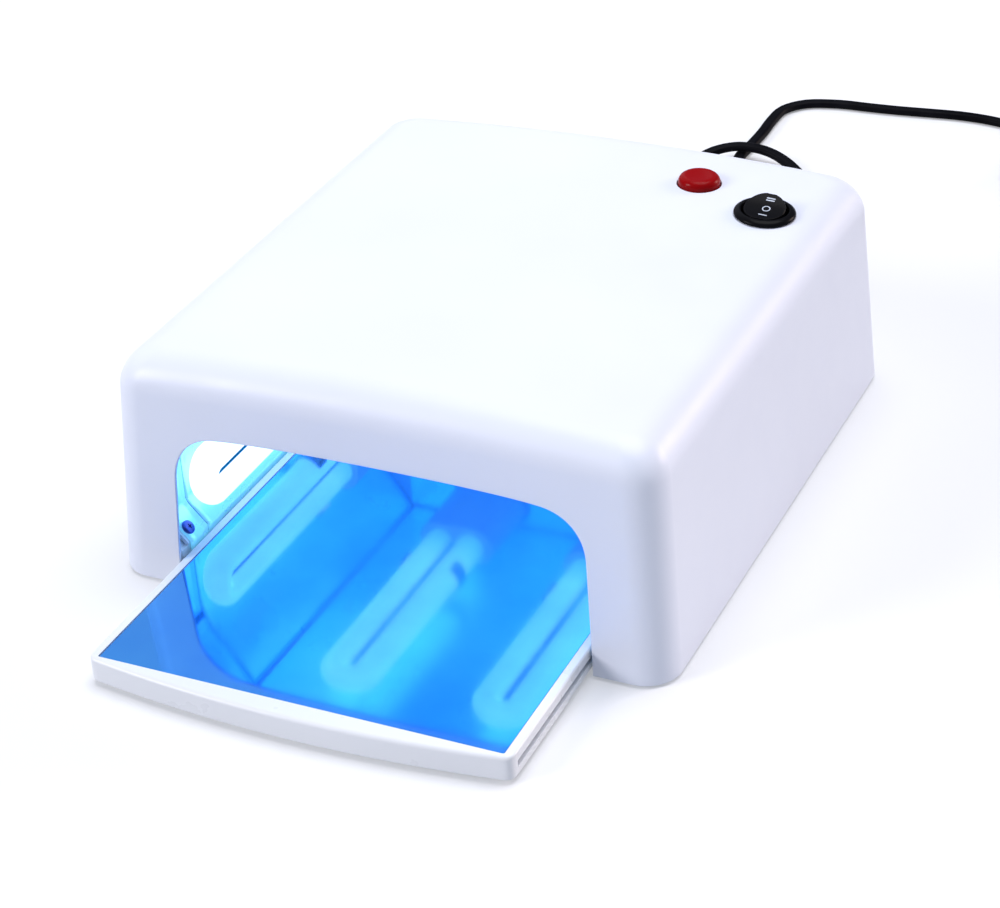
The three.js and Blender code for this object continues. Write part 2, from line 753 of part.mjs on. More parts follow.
function tray() {
  const pan = prismZ(trayOutline(), trayBottom, trayTop, 10);
  const recessFloor = trayTop - mirrorThick - 2 * gap;
  const recess = box(-mirrorHalf, mirrorHalf, mirrorFront, mirrorBack, recessFloor, trayTop + 2);
  const underside = [-1, 1].map((side) => {
    const x = side * 36;
    return box(x - 34.5, x + 34.5, trayFrontCorner + 4, trayBack - 2, trayBottom - 1, trayDeck);
  });
  const sides = [-1, 1].flatMap((side) => {
    const x = side * (grooveFloor + 5);
    return [
      box(x - 5, x + 5, trayFrontCorner + 4, trayBack + 1, grooveLow, grooveHigh),
      box(x - 8, x + 8, frontY - 17, trayBack + 1, trayBottom - 1, trayBottom + 1.1),
    ];
  });
  return cut(pan, recess, ...underside, ...sides);
}

function traySheet() {
  const half = mirrorHalf - gap;
  const top = trayTop - gap;
  return box(-half, half, mirrorFront + gap, mirrorBack - gap, top - mirrorThick, top);
}

add('tray', tray(), whitePlastic);
add('tray_mirror', traySheet(), mirrorFilm);

// ---------- cord ----------

const reliefEndY = reliefRootY + reliefOut;
const floorZ = cordThick / 2 + 0.2;
const coilTopTurnZ = coilBottom + 1.5 * cordThick;

const cordRoute = [
  [60, reliefEndY + gap, 20], [60, 184, 19.3], [59.6, 197, 14.8], [58.2, 211, 7.6], [55.3, 226, 3],
  [50.5, 242, floorZ], [43.5, 259, floorZ], [34.5, 276, floorZ], [25, 290, floorZ], [16, 300.5, 2.4],
  [8, 306.6, 3.9], [0, 309.8, 5.3], [-8, 310.8, 5.9], [-16, 309.6, 5.9], [-24.5, 304.6, 4.6],
  [-31.4, 294, 2.6], [-37, 281, floorZ], [-41, 266, floorZ], [-36, 252, floorZ], [-23, 245.5, floorZ],
  [-9, 250, floorZ], [-2.5, 263, floorZ], [-4.5, 279, floorZ], [-10, 294, floorZ], [-13.3, 308, floorZ],
  [-12.6, 322, floorZ], [-12.3, 336, floorZ], [-12.8, 350, floorZ], [-11.6, 363.5, floorZ],
  [-3.5, 373.2, floorZ], [10.9, 377.4, floorZ], [25, 378, floorZ], [39.1, 378.8, floorZ],
  [53, 380.3, floorZ], [67, 381.6, floorZ], [79.2, 381.2, floorZ], [91, 379.2, floorZ], [105, 377, 2.2],
  [121, 376.7, 2.6], [138, 376.7, 2.6],
];
const plugX = coilCentre[0] + coilOuterTurn;
const plugEndY = coilCentre[1] - 26;
const plugZ = 7.2;
const plugFaceY = plugEndY - 46;
const plugPinX = [-9.3, 9.3];
const tailRoute = [
  [plugX, coilCentre[1], coilTopTurnZ], [plugX, coilCentre[1] - 9, coilTopTurnZ + 0.1],
  [plugX, coilCentre[1] - 18, coilTopTurnZ + 0.8], [plugX, plugEndY + gap, plugZ],
];

// The flat section, with its width along the outline's x, which the path frames keep level.
function cordSection() {
  const round = cordThick / 2;
  const flat = cordWide / 2 - round;
  const points = [];
  for (const side of [1, -1]) {
    for (let i = 0; i < 4; i += 1) {
      const angle = (i / 3 - 0.5) * Math.PI;
      points.push([side * (flat + round * Math.cos(angle)), side * round * Math.sin(angle)]);
    }
  }
  return outline(points);
}

function cordTube(route, steps) {
  const points = route.map((point) => new THREE.Vector3(...point));
  const path = new THREE.CatmullRomCurve3(points, false, 'catmullrom', 0.5);
  return new THREE.ExtrudeGeometry(cordSection(), { steps, extrudePath: path });
}

const coilOutside = coilOuterTurn + cordWide / 2 + 0.2;
const coilInside = coilInnerTurn - cordWide / 2 - 0.2;
const coilTop = coilBottom + 2 * cordThick + 0.3;

function clearOfCoil(geometry) {
  return cut(geometry, rod('z', coilOutside + gap, ...coilCentre, -5, 30, 40));
}

function coilRing() {
  const bottom = [[coilInside, coilBottom + 1], [coilInside + 1, coilBottom], [coilOutside - 1, coilBottom]];
  const outside = [[coilOutside, coilBottom + 1], [coilOutside, coilTop - 1]];
  const top = [[coilOutside - 1, coilTop], [coilInside + 1, coilTop], [coilInside, coilTop - 1]];
  return turned([...bottom, ...outside, ...top, bottom[0]], 32);
}

// A strap round the coil's section, standing across the coil's radius.
function coilTie() {
  const outer = box(coilInside - 1.2, coilOutside + 1.1, -3, 3, 0.05, coilTop + 0.95);
  const inner = box(coilInside - 0.6, coilOutside + 0.5, -4, 4, 0.55, coilTop + 0.35);
  return cut(outer, inner);
}

function strainRelief() {
  const profile = [
    [0, -9], [4.6, -9], [7.2, -4.7], [7.2, -3.4], [5.2, -3.4], [5.2, 0.8], [7.4, 0.8], [7.4, 2.2],
  ];
  const ribs = 3;
  for (let i = 0; i < ribs; i += 1) {
    const y = 2.2 + i * 7.2;
    const r = 5.6 - i * 0.42;
    profile.push([r, y], [r - 0.1, y + 5.4], [r - 1, y + 5.4], [r - 1, y + 7.2]);
  }
  profile.push([3.5, reliefOut - 2], [3.4, reliefOut], [0, reliefOut]);
  const points = profile.map(([radius, y]) => new THREE.Vector2(radius, y));
  return new THREE.LatheGeometry(points, 14).translate(cordExit[0], reliefRootY, cordExit[1]);
}

function plugBody() {
  const shape = new THREE.Shape();
  shape.moveTo(4.2, plugEndY);
  shape.lineTo(-4.2, plugEndY);
  shape.lineTo(-5.2, plugEndY - 12);
  shape.quadraticCurveTo(-12.6, plugEndY - 16, -13, plugEndY - 26);
  shape.lineTo(-13, plugFaceY + 1.5);
  shape.lineTo(-11.5, plugFaceY);
  shape.lineTo(11.5, plugFaceY);
  shape.lineTo(13, plugFaceY + 1.5);
  shape.lineTo(13, plugEndY - 26);
  shape.quadraticCurveTo(12.6, plugEndY - 16, 5.2, plugEndY - 12);
  const slab = prismZ(shape, 0.2, 14.2, 4);
  const side = new THREE.Shape();
  side.moveTo(plugEndY + 1, plugZ - 3.4);
  side.lineTo(plugEndY + 1, plugZ + 3.4);
  side.lineTo(plugEndY - 12, plugZ + 4.2);
  side.quadraticCurveTo(plugEndY - 17, 14.2, plugEndY - 24, 14.2);
  side.lineTo(plugFaceY - 1, 14.2);
  side.lineTo(plugFaceY - 1, 0.2);
  side.lineTo(plugEndY - 24, 0.2);
  side.quadraticCurveTo(plugEndY - 17, 0.2, plugEndY - 12, plugZ - 4.2);
  const body = common(slab, prismX(side, -15, 15, 4));
  const pinHoles = plugPinX.map((x) => rod('y', 2.3, x, plugZ, plugFaceY - 1, plugFaceY + 3, 12));
  return cut(body, ...pinHoles).translate(plugX, 0, 0);
}

add('strain_relief', strainRelief(), rubber);
add('mains_cord', clearOfCoil(cordTube(cordRoute, 70)), cordSkin);
add('cord_coil', coilRing(), cordSkin).position.set(...coilCentre, 0);
add('cord_tail', clearOfCoil(cordTube(tailRoute, 6)), cordSkin);
const tie = add('cord_tie', coilTie(), rubber);
tie.position.set(...coilCentre, 0);
tie.rotation.z = THREE.MathUtils.degToRad(205);
add('plug_body', plugBody(), blackPlastic);
plugPinX.forEach((x, i) => {
  const pin = rod('y', 2, plugX + x, plugZ, plugFaceY - 19, plugFaceY + 2.5, 12);
  add(`plug_pin_${i + 1}`, pin, steel);
});

export default lamp;
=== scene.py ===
"""UV curing lamp: the looks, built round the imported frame.

Shapes are drawn in millimetres in the frame's own axes (+X right, +Y back, +Z up),
and mesh_object turns them into metres. The driving sizes are the CAD part's, except that
TRAY_BULGE is a little larger here.
"""

import math

import bmesh
import bpy
from mathutils import Matrix, Vector


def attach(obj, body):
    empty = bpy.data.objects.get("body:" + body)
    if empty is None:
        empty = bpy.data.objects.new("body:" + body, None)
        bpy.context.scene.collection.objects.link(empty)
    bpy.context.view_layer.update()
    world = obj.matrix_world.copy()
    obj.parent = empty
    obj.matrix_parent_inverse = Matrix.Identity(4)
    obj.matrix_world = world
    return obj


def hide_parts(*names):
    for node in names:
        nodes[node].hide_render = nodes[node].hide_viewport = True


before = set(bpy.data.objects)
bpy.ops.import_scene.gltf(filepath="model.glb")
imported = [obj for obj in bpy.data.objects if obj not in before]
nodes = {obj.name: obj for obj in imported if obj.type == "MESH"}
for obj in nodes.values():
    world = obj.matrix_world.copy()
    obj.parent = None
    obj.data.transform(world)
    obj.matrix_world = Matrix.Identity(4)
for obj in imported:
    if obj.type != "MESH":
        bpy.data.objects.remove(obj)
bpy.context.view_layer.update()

MM = 0.001
SIDES = {"left": -1, "right": 1}

# ---------- driving sizes, millimetres ----------

BODY_HALF = 103.75
FRONT_Y = -80.0
BACK_Y = 148.0
EDGE_HEIGHT = 83.8
DOME_RISE = 4.36
SIDE_LEAN = 4.97
BACK_LEAN = 5.2
TOP_ROUND = 12.3
CORNER_ROUND = 12.4
WALL = 2.5
HOUSING_BOTTOM = 1.0

OPENING_HALF_LOW = 77.7
OPENING_HALF_HIGH = 75.4
OPENING_CORNER_Z = 42.0
SHOULDER = (58.0, 60.3)
CROWN_Z = 62.0

BUTTON_AT = (44.0, 108.0)
ROCKER_AT = (74.5, 93.5)
BUTTON_HOLE = 8.25
ROCKER_HOLE = 10.1
ROCKER_PIVOT = 0.5
ROCKER_TILT = math.radians(13)
MARK_X = 0.75

TRAY_HALF = 76.2
TRAY_FRONT = -140.0
TRAY_BULGE = 6.0
TRAY_BACK = 15.0
TRAY_BOTTOM = 2.0
TRAY_TOP = 11.0
TRAY_DECK = 7.5
TRAY_FOOT_ROUND = 0.6
MIRROR_HALF = 73.0
MIRROR_FRONT = -138.5
MIRROR_BACK = 12.5

CHAMBER_FRONT = -72.0
CHAMBER_BACK = 70.0
GLASS_RADIUS = 5.4
LEG_HALF = 6.4
GLASS_LENGTH = 99.4
BEND_THINNING = 0.28
LINING_FOOT_X = 77.6
LINING_WALL_X = 85.4
LINING_FOOT_Z = 9.8
SIDE_TUBE = (75.5, -67.4, 32.0)
CEILING_TUBE = (30.0, -63.0, 65.0)

# ---------- mesh helpers ----------


def link(obj):
    bpy.context.scene.collection.objects.link(obj)
    return obj


def mesh_object(name, points, faces, smooth=True):
    """A mesh from points in millimetres."""
    mesh = bpy.data.meshes.new(name)
    mesh.from_pydata([tuple(Vector(p) * MM) for p in points], [], faces)
    mesh.validate()
    if smooth:
        mesh.shade_smooth()
    return link(bpy.data.objects.new(name, mesh))


def settle(obj):
    """Turns the object's modifiers into its mesh."""
    graph = bpy.context.evaluated_depsgraph_get()
    made = bpy.data.meshes.new_from_object(obj.evaluated_get(graph))
    obj.modifiers.clear()
    obj.data = made
    return obj


def combine(obj, tool, operation="DIFFERENCE"):
    """Cuts one closed mesh by another, or joins them, and removes the tool."""
    modifier = obj.modifiers.new("combine", "BOOLEAN")
    modifier.operation = operation
    modifier.solver = "MANIFOLD"
    modifier.object = tool
    settle(obj)
    bpy.data.objects.remove(tool)
    return obj


def merged(name, parts):
    """One object from several that don't touch each other."""
    shape = bmesh.new()
    for part in parts:
        part.data.transform(part.matrix_world)
        shape.from_mesh(part.data)
        bpy.data.objects.remove(part)
    mesh = bpy.data.meshes.new(name)
    shape.to_mesh(mesh)
    shape.free()
    return link(bpy.data.objects.new(name, mesh))


def finish_edges(obj, angle=34, bevel=0.0):
    """Small rounds on hard edges, then shading that is smooth between sharp edges."""
    if bevel:
        modifier = obj.modifiers.new("edge_round", "BEVEL")
        modifier.width = bevel * MM
        modifier.segments = 2
        modifier.limit_method = "ANGLE"
        modifier.angle_limit = math.radians(40)
        settle(obj)
    obj.data.shade_smooth()
    obj.data.set_sharp_from_angle(angle=math.radians(angle))
    weighted = obj.modifiers.new("weighted", "WEIGHTED_NORMAL")
    weighted.keep_sharp = True
    return obj


def face_outwards(obj, weld=0.0):
    """Turns every face of a closed mesh outwards, after joining points closer than weld metres."""
    shape = bmesh.new()
    shape.from_mesh(obj.data)
    if weld:
        bmesh.ops.remove_doubles(shape, verts=shape.verts, dist=weld)
    bmesh.ops.recalc_face_normals(shape, faces=shape.faces)
    shape.to_mesh(obj.data)
    shape.free()
    return obj


def skin(name, rings, closed=False, weld=0.0):
    """A closed skin through rings of equal point counts. Closed joins the last ring to the first."""
    count = len(rings[0])
    points = [p for ring in rings for p in ring]
    faces = []
    for level in range(len(rings) if closed else len(rings) - 1):
        low = level * count
        high = (level + 1) % len(rings) * count
        for i in range(count):
            j = (i + 1) % count
            faces.append((low + i, low + j, high + j, high + i))
    if not closed:
        faces.append(tuple(reversed(range(count))))
        faces.append(tuple(range(len(points) - count, len(points))))
    return face_outwards(mesh_object(name, points, faces), weld)


def turned(name, profile, sides=48, frame_at=Matrix()):
    """A (radius, height) profile turned about Z, bottom upward on the outside."""
    rings = []
    for radius, height in profile:
        ring = []
        for i in range(sides):
            angle = 2 * math.pi * i / sides
            ring.append(Vector((radius * math.cos(angle), radius * math.sin(angle), height)))
        rings.append([frame_at @ p for p in ring])
    return skin(name, rings, weld=1e-7)


def box(x0, x1, y0, y1, z0, z1):
    ring = [(x0, y0), (x1, y0), (x1, y1), (x0, y1)]
    return skin("box", [[(x, y, z) for x, y in ring] for z in (z0, z1)])


def rounded_rectangle(half_wide, half_tall, radius, steps=6):
    """Counter-clockwise outline points about the origin."""
    points = []
    for quarter in range(4):
        cx = (half_wide - radius) * (1 if quarter in (0, 3) else -1)
        cy = (half_tall - radius) * (1 if quarter in (0, 1) else -1)
        for i in range(steps + 1):
            angle = math.pi / 2 * (quarter + i / steps)
            points.append((cx + radius * math.cos(angle), cy + radius * math.sin(angle)))
    return points


def bezier(p0, p1, p2, p3, steps):
    """Points on a cubic curve, without its start."""
    points = []
    for i in range(1, steps + 1):
        t = i / steps
        weights = ((1 - t) ** 3, 3 * t * (1 - t) ** 2, 3 * t * t * (1 - t), t ** 3)
        points.append(tuple(sum(w * p[k] for w, p in zip(weights, (p0, p1, p2, p3))) for k in (0, 1)))
    return points


def smooth_line(points, steps):
    """A Catmull-Rom line through the points, with that many steps between each two."""
    line = [Vector(p) for p in points]
    ends = [2 * line[0] - line[1]] + line + [2 * line[-1] - line[-2]]
    out = []
    for i in range(len(line) - 1):
        a, b, c, d = ends[i:i + 4]
        for k in range(steps):
            t = k / steps
            out.append(0.5 * (2 * b + (c - a) * t + (2 * a - 5 * b + 4 * c - d) * t * t
                              + (3 * b - a - 3 * c + d) * t * t * t))
    return out + [line[-1]]


def outward(points):
    """Unit outward directions at the points of a closed counter-clockwise outline."""
    count = len(points)
    directions = []
    for i in range(count):
        before = Vector(points[i - 1])
        after = Vector(points[(i + 1) % count])
        along = (after - before).normalized()
        directions.append((along.y, -along.x))
    return directions


def place(obj, body, material, replaces=()):
    """Gives a piece its body, its material and the CAD nodes that it stands for."""
    obj.data.materials.clear()
    obj.data.materials.append(material)
    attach(obj, body)
    if replaces:
        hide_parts(*replaces)
    return obj


# ---------- materials ----------


def shader(name, color, roughness, metallic=0.0, **sockets):
    """A principled material and its node tree. Sockets are given by name, with _ for a space."""
    material = bpy.data.materials.new(name)
    material.use_nodes = True
    principled = material.node_tree.nodes["Principled BSDF"]
    principled.inputs["Base Color"].default_value = (*color, 1)
    principled.inputs["Roughness"].default_value = roughness
    principled.inputs["Metallic"].default_value = metallic
    for socket, value in sockets.items():
        principled.inputs[socket.replace("_", " ")].default_value = value
    material.diffuse_color = (*color, 1)
    return material


def principled_of(material):
    return material.node_tree.nodes["Principled BSDF"]


def object_place(material, scale=(1, 1, 1)):
    tree = material.node_tree
    coordinates = tree.nodes.new("ShaderNodeTexCoord")
    mapping = tree.nodes.new("ShaderNodeMapping")
    mapping.inputs["Scale"].default_value = scale
    tree.links.new(coordinates.outputs["Object"], mapping.inputs["Vector"])
    return mapping.outputs["Vector"]


def noise(material, per_metre, detail=3.0, stretch=(1, 1, 1)):
    node = material.node_tree.nodes.new("ShaderNodeTexNoise")
    node.inputs["Scale"].default_value = per_metre
    node.inputs["Detail"].default_value = detail
    material.node_tree.links.new(object_place(material, stretch), node.inputs["Vector"])
    return node.outputs["Fac"]


def ramp(material, value, stops):
    """A colour ramp on a value; stops are (position, colour)."""
    node = material.node_tree.nodes.new("ShaderNodeValToRGB")
    material.node_tree.links.new(value, node.inputs["Fac"])
    elements = node.color_ramp.elements
    while len(elements) < len(stops):
        elements.new(0.5)
    for element, (position, color) in zip(elements, stops):
        element.position = position
        element.color = (*color, 1)
    return node.outputs["Color"]


def mottle(material, per_metre, low, high, detail=4.0, spread=(0.35, 0.65), stretch=(1, 1, 1)):
    """Base colour that wanders between two colours."""
    pattern = noise(material, per_metre, detail, stretch)
    color = ramp(material, pattern, [(spread[0], low), (spread[1], high)])
    material.node_tree.links.new(color, principled_of(material).inputs["Base Color"])


def vary_roughness(material, per_metre, low, high, stretch=(1, 1, 1)):
    node = material.node_tree.nodes.new("ShaderNodeMapRange")
    node.inputs["From Min"].default_value = 0.3
    node.inputs["From Max"].default_value = 0.7
    node.inputs["To Min"].default_value = low
    node.inputs["To Max"].default_value = high
    material.node_tree.links.new(noise(material, per_metre, 4.0, stretch), node.inputs["Value"])
    material.node_tree.links.new(node.outputs["Result"], principled_of(material).inputs["Roughness"])


def bump(material, *layers):
    """Layers of (height socket, depth in millimetres, strength), one over another."""
    tree = material.node_tree
    normal = None
    for height, depth, strength in layers:
        node = tree.nodes.new("ShaderNodeBump")
        node.inputs["Distance"].default_value = depth * MM
        node.inputs["Strength"].default_value = strength
        tree.links.new(height, node.inputs["Height"])
        if normal:
            tree.links.new(normal, node.inputs["Normal"])
        normal = node.outputs["Normal"]
    tree.links.new(normal, principled_of(material).inputs["Normal"])


def bands(material, per_metre, direction="X", distortion=0.0):
    node = material.node_tree.nodes.new("ShaderNodeTexWave")
    node.bands_direction = direction
    node.inputs["Scale"].default_value = per_metre
    node.inputs["Distortion"].default_value = distortion
    material.node_tree.links.new(object_place(material), node.inputs["Vector"])
    return node.outputs["Fac"]


def moulded(name, color, roughness, grain=0.02, **sockets):
    """Moulded plastic: a fine spark grain, faint sink marks, and patches that are rubbed smoother."""
    material = shader(name, color, roughness, **sockets)
    paler = tuple(min(1.0, c * 1.015 + 0.001) for c in color)
    darker = tuple(c * 0.985 for c in color)
    mottle(material, 14, darker, paler, 2.0, (0.3, 0.7))
    vary_roughness(material, 60, roughness * 0.85, roughness * 1.2)
    bump(material, (noise(material, 1500, 2.0), grain, 0.35), (noise(material, 18, 1.0), 0.25, 0.12))
    return material


def white_plastic():
    return moulded("white_plastic", (0.655, 0.70, 0.80), 0.36, 0.012, Specular_IOR_Level=0.28)


def tray_plastic():
    return moulded("tray_plastic", (0.66, 0.69, 0.73), 0.3, 0.004, Specular_IOR_Level=0.4)


def film():
    """Metallised lining film: a soft blue-white mirror with shallow waves, and a painted glow: emission
    that stands in for the tubes' light falling on the film.
    """
    material = shader("lining_film_painted_glow", (0.40, 0.80, 1.0), 0.3, 0.5)
    mottle(material, 35, (0.37, 0.77, 0.98), (0.43, 0.83, 1.0))
    vary_roughness(material, 45, 0.24, 0.36)
    waves = noise(material, 30, 1.0, (1, 0.35, 1))
    bump(material, (waves, 0.4, 0.2), (noise(material, 900, 2.0), 0.02, 0.3))
    principled = principled_of(material)
    # Painted light: the film is no lamp, and this glow stands in for the light of the tubes on it.
    principled.inputs["Emission Color"].default_value = (0.16, 0.62, 0.95, 1)
    principled.inputs["Emission Strength"].default_value = 0.5
    return material


def tray_sheet():
    """The tray's mirror, with a little ripple and a thin haze of rub marks. Its deep blue is a painted
    reflection of the blue-lit chamber that the sheet mirrors.
    """
    material = shader("tray_mirror_painted_blue", (0.06, 0.37, 1.0), 0.07, 1.0,
                      Coat_Weight=0.3, Coat_Roughness=0.03)
    mottle(material, 30, (0.052, 0.345, 0.98), (0.068, 0.395, 1.0))
    vary_roughness(material, 40, 0.045, 0.13, (1, 0.4, 1))
    ripple = noise(material, 26, 1.0, (1, 0.5, 1))
    bump(material, (ripple, 0.35, 0.12), (noise(material, 700, 2.0), 0.01, 0.2))
    return material


def lit_glass():
    """Phosphor-coated tube, lit along its length and dimmer near its cathodes."""
    material = shader("lit_tube_glass", (0.35, 0.42, 0.48), 0.12, Coat_Weight=0.6, Coat_Roughness=0.02)
    tree = material.node_tree
    principled = principled_of(material)
    split = tree.nodes.new("ShaderNodeSeparateXYZ")
    tree.links.new(object_place(material), split.inputs["Vector"])
    along = tree.nodes.new("ShaderNodeMapRange")
    along.inputs["From Min"].default_value = -0.075
    along.inputs["From Max"].default_value = 0.045
    tree.links.new(split.outputs["Y"], along.inputs["Value"])
    glow = ramp(material, along.outputs["Result"],
                [(0.0, (0.58, 0.71, 1.0)), (0.80, (0.57, 0.71, 1.0)), (0.90, (0.28, 0.52, 0.92)),
                 (1.0, (0.05, 0.10, 0.3))])
    tree.links.new(glow, principled.inputs["Emission Color"])
    principled.inputs["Emission Strength"].default_value = TUBE_GLOW
    mottle(material, 120, (0.33, 0.40, 0.46), (0.37, 0.44, 0.50))
    vary_roughness(material, 150, 0.09, 0.18)
    bump(material, (noise(material, 400, 2.0), 0.01, 0.2))
    return material


def metal(name, color, roughness, stretch=(1, 1, 1)):
    """Bright metal with rolled or drawn streaks."""
    material = shader(name, color, roughness, 1.0)
    mottle(material, 90, tuple(c * 0.86 for c in color), tuple(min(1, c * 1.06) for c in color), 5.0)
    vary_roughness(material, 220, roughness * 0.7, roughness * 1.35, stretch)
    bump(material, (noise(material, 600, 3.0, stretch), 0.02, 0.3))
    return material


def laminated_choke():
    """Ballast: a stack of thin steel sheets under clear varnish."""
    material = shader("choke_laminations", (0.30, 0.29, 0.30), 0.42, 0.85,
                      Coat_Weight=0.25, Coat_Roughness=0.2)
    mottle(material, 70, (0.20, 0.19, 0.20), (0.36, 0.34, 0.34))
    vary_roughness(material, 90, 0.32, 0.55)
    bump(material, (bands(material, 320, "Y"), 0.25, 0.5), (noise(material, 500), 0.03, 0.3))
    return material


def circuit_board():
    material = shader("circuit_board", (0.03, 0.16, 0.07), 0.32, Coat_Weight=0.5, Coat_Roughness=0.12)
    mottle(material, 240, (0.02, 0.12, 0.05), (0.045, 0.22, 0.10), 2.0, (0.44, 0.56))
    vary_roughness(material, 120, 0.25, 0.42)
    bump(material, (noise(material, 240, 2.0), 0.06, 0.4))
    return material


def rubbery(name, color, roughness=0.62):
    material = shader(name, color, roughness, Specular_IOR_Level=0.03)
    mottle(material, 80, tuple(c * 0.8 for c in color), tuple(c * 1.3 + 0.002 for c in color))
    vary_roughness(material, 110, roughness * 0.85, min(1.0, roughness * 1.2))
    bump(material, (noise(material, 1300, 2.0), 0.03, 0.4), (noise(material, 90, 2.0), 0.08, 0.2))
    return material


def pale_floor():
    """A pale table that is lit softly from below as well, so that shadows on it stay light."""
    material = shader("pale_floor", (0.52, 0.535, 0.56), 0.7)
    mottle(material, 3, (0.517, 0.532, 0.557), (0.523, 0.538, 0.563))
    principled = principled_of(material)
    principled.inputs["Emission Color"].default_value = (0.97, 0.98, 1.0, 1)
    principled.inputs["Emission Strength"].default_value = 0.27
    return material


TUBE_GLOW = 1.9

housing_white = white_plastic()
tray_white = tray_plastic()
inner_white = moulded("inner_white_plastic", (0.76, 0.80, 0.84), 0.42)
# The base's pale blue-white is set lighter and bluer than its plastic to stand in for the tubes' glow on it
# beside the tray: partly its own colour, partly painted light.
pale_base_with_painted_light = moulded("pale_base_plastic", (0.74, 0.80, 0.86), 0.5, 0.03)
# The lining film carries a painted glow that stands in for the tubes' light on the chamber walls.
lining = film()
# The tray sheet's blue is a painted reflection of the lit chamber.
tray_painted_reflection = tray_sheet()
tube_light = lit_glass()
steel = metal("zinc_plated_steel", (0.62, 0.64, 0.68), 0.26)
brass = metal("brass_pins", (0.78, 0.62, 0.30), 0.28, (1, 1, 0.2))
chokes = laminated_choke()
board = circuit_board()
black_plastic = moulded("black_plastic", (0.004, 0.004, 0.005), 0.24, 0.02, Specular_IOR_Level=0.04)
red_plastic = moulded("red_button_plastic", (0.235, 0.002, 0.003), 0.2, 0.006, Specular_IOR_Level=0.06)
rubber = rubbery("black_rubber", (0.005, 0.005, 0.006))
cord_black = rubbery("cord_skin", (0.002, 0.002, 0.0035), 0.45)
mark_paint = moulded("mark_paint", (0.50, 0.56, 0.66), 0.5)
screw_dark = metal("dark_screw_steel", (0.08, 0.12, 0.42), 0.34)
# Painted shade: a dark teal for the strip that darkens the slit between a tube's legs.
slit_painted_shade = rubbery("tube_slit_shade_teal", (0.012, 0.20, 0.30))
# Painted shade: a dark blue for strips that stand in for the shadow in the gaps between film pieces.
seam_painted_shade = rubbery("film_seam_painted_shade", (0.10, 0.28, 0.42))

# ---------- camera ----------


def add_camera():
    data = bpy.data.cameras.new("camera")
    data.sensor_width = 36.0
    data.lens = 92.59
    data.clip_start = 0.01
    camera = link(bpy.data.objects.new("camera", data))
    right = Vector((0.9085, 0.4147, -0.0524)).normalized()
    back = Vector((0.3799, -0.7670, 0.5171)).normalized()
    up = back.cross(right).normalized()
    right = up.cross(back)
    turn = Matrix((right, up, back)).transposed().to_4x4()
    camera.matrix_world = Matrix.Translation((0.3537, -0.6955, 0.4945)) @ turn
    bpy.context.scene.camera = camera


# ---------- cord ----------

CORD_WIDE = 5.4
CORD_THICK = 3.4
FLOOR_Z = 1.9  # height of the cord's middle where it lies on the floor
COIL_CENTRE = (138.0, 343.0)
OUTER_TURN = 33.7
INNER_TURN = 28.3
LOW_TURN_Z = 2.6
HIGH_TURN_Z = 6.0
PLUG_X = COIL_CENTRE[0] + OUTER_TURN
PLUG_END_Y = COIL_CENTRE[1] - 26
PLUG_Z = 7.2
EXIT = (60.0, 173.06, 20.0)

ROUTE = [
    EXIT, (60, 184, 19.3), (59.6, 197, 14.8), (58.2, 211, 7.6), (55.3, 226, 3), (50.5, 242, FLOOR_Z),
    (43.5, 259, FLOOR_Z), (34.5, 276, FLOOR_Z), (25, 290, FLOOR_Z), (16, 300.5, 2.4), (8, 306.6, 3.9),
    (0, 309.8, 5.3), (-8, 310.8, 5.9), (-16, 309.6, 5.9), (-24.5, 304.6, 4.6), (-31.4, 294, 2.6),
    (-37, 281, FLOOR_Z), (-41, 266, FLOOR_Z), (-36, 252, FLOOR_Z), (-23, 245.5, FLOOR_Z),
    (-9, 250, FLOOR_Z), (-2.5, 263, FLOOR_Z), (-4.5, 279, FLOOR_Z), (-10, 294, FLOOR_Z),
    (-13.3, 308, FLOOR_Z), (-12.6, 322, FLOOR_Z), (-12.3, 336, FLOOR_Z), (-12.8, 350, FLOOR_Z),
    (-11.6, 363.5, FLOOR_Z), (-3.5, 373.2, FLOOR_Z), (10.9, 377.4, FLOOR_Z), (25, 378, FLOOR_Z),
    (39.1, 378.8, FLOOR_Z), (53, 380.3, FLOOR_Z), (67, 381.6, FLOOR_Z), (79.2, 381.2, FLOOR_Z),
    (91, 379.2, FLOOR_Z), (105, 377, 2.2), (121, 376.7, 2.6),
]
TAIL = [
    (PLUG_X, COIL_CENTRE[1] - 9, HIGH_TURN_Z + 0.1),
    (PLUG_X, COIL_CENTRE[1] - 18, HIGH_TURN_Z + 0.8),
    (PLUG_X, PLUG_END_Y + 0.3, PLUG_Z),
]


def ease(value, low, high):
    t = min(max((value - low) / (high - low), 0.0), 1.0)
    return t * t * (3 - 2 * t)


def coil_turns(turns=3.25, per_turn=28):
    """Outer turn below, two inner turns one on the other, then the outer turn above."""
    points = []
    for i in range(int(turns * per_turn) + 1):
        turn = i / per_turn
        angle = math.pi / 2 - 2 * math.pi * turn
        inward = ease(turn, 0.7, 1.0) - ease(turn, 2.7, 3.0)
        radius = OUTER_TURN - (OUTER_TURN - INNER_TURN) * inward
        height = LOW_TURN_Z + (HIGH_TURN_Z - LOW_TURN_Z) * ease(turn, 1.65, 2.0)
        x = COIL_CENTRE[0] + radius * math.cos(angle)
        y = COIL_CENTRE[1] + radius * math.sin(angle)
        points.append((x, y, height))
    return points


def level_rings(line, section):
    """Rings of a section of (across, up) points along a line, kept level."""
    rings = []
    for i, at in enumerate(line):
        ahead = (line[min(i + 1, len(line) - 1)] - line[max(i - 1, 0)]).normalized()
        across = ahead.cross(Vector((0, 0, 1))).normalized()
        up = across.cross(ahead)
        rings.append([at + across * a + up * u for a, u in section])
    return rings


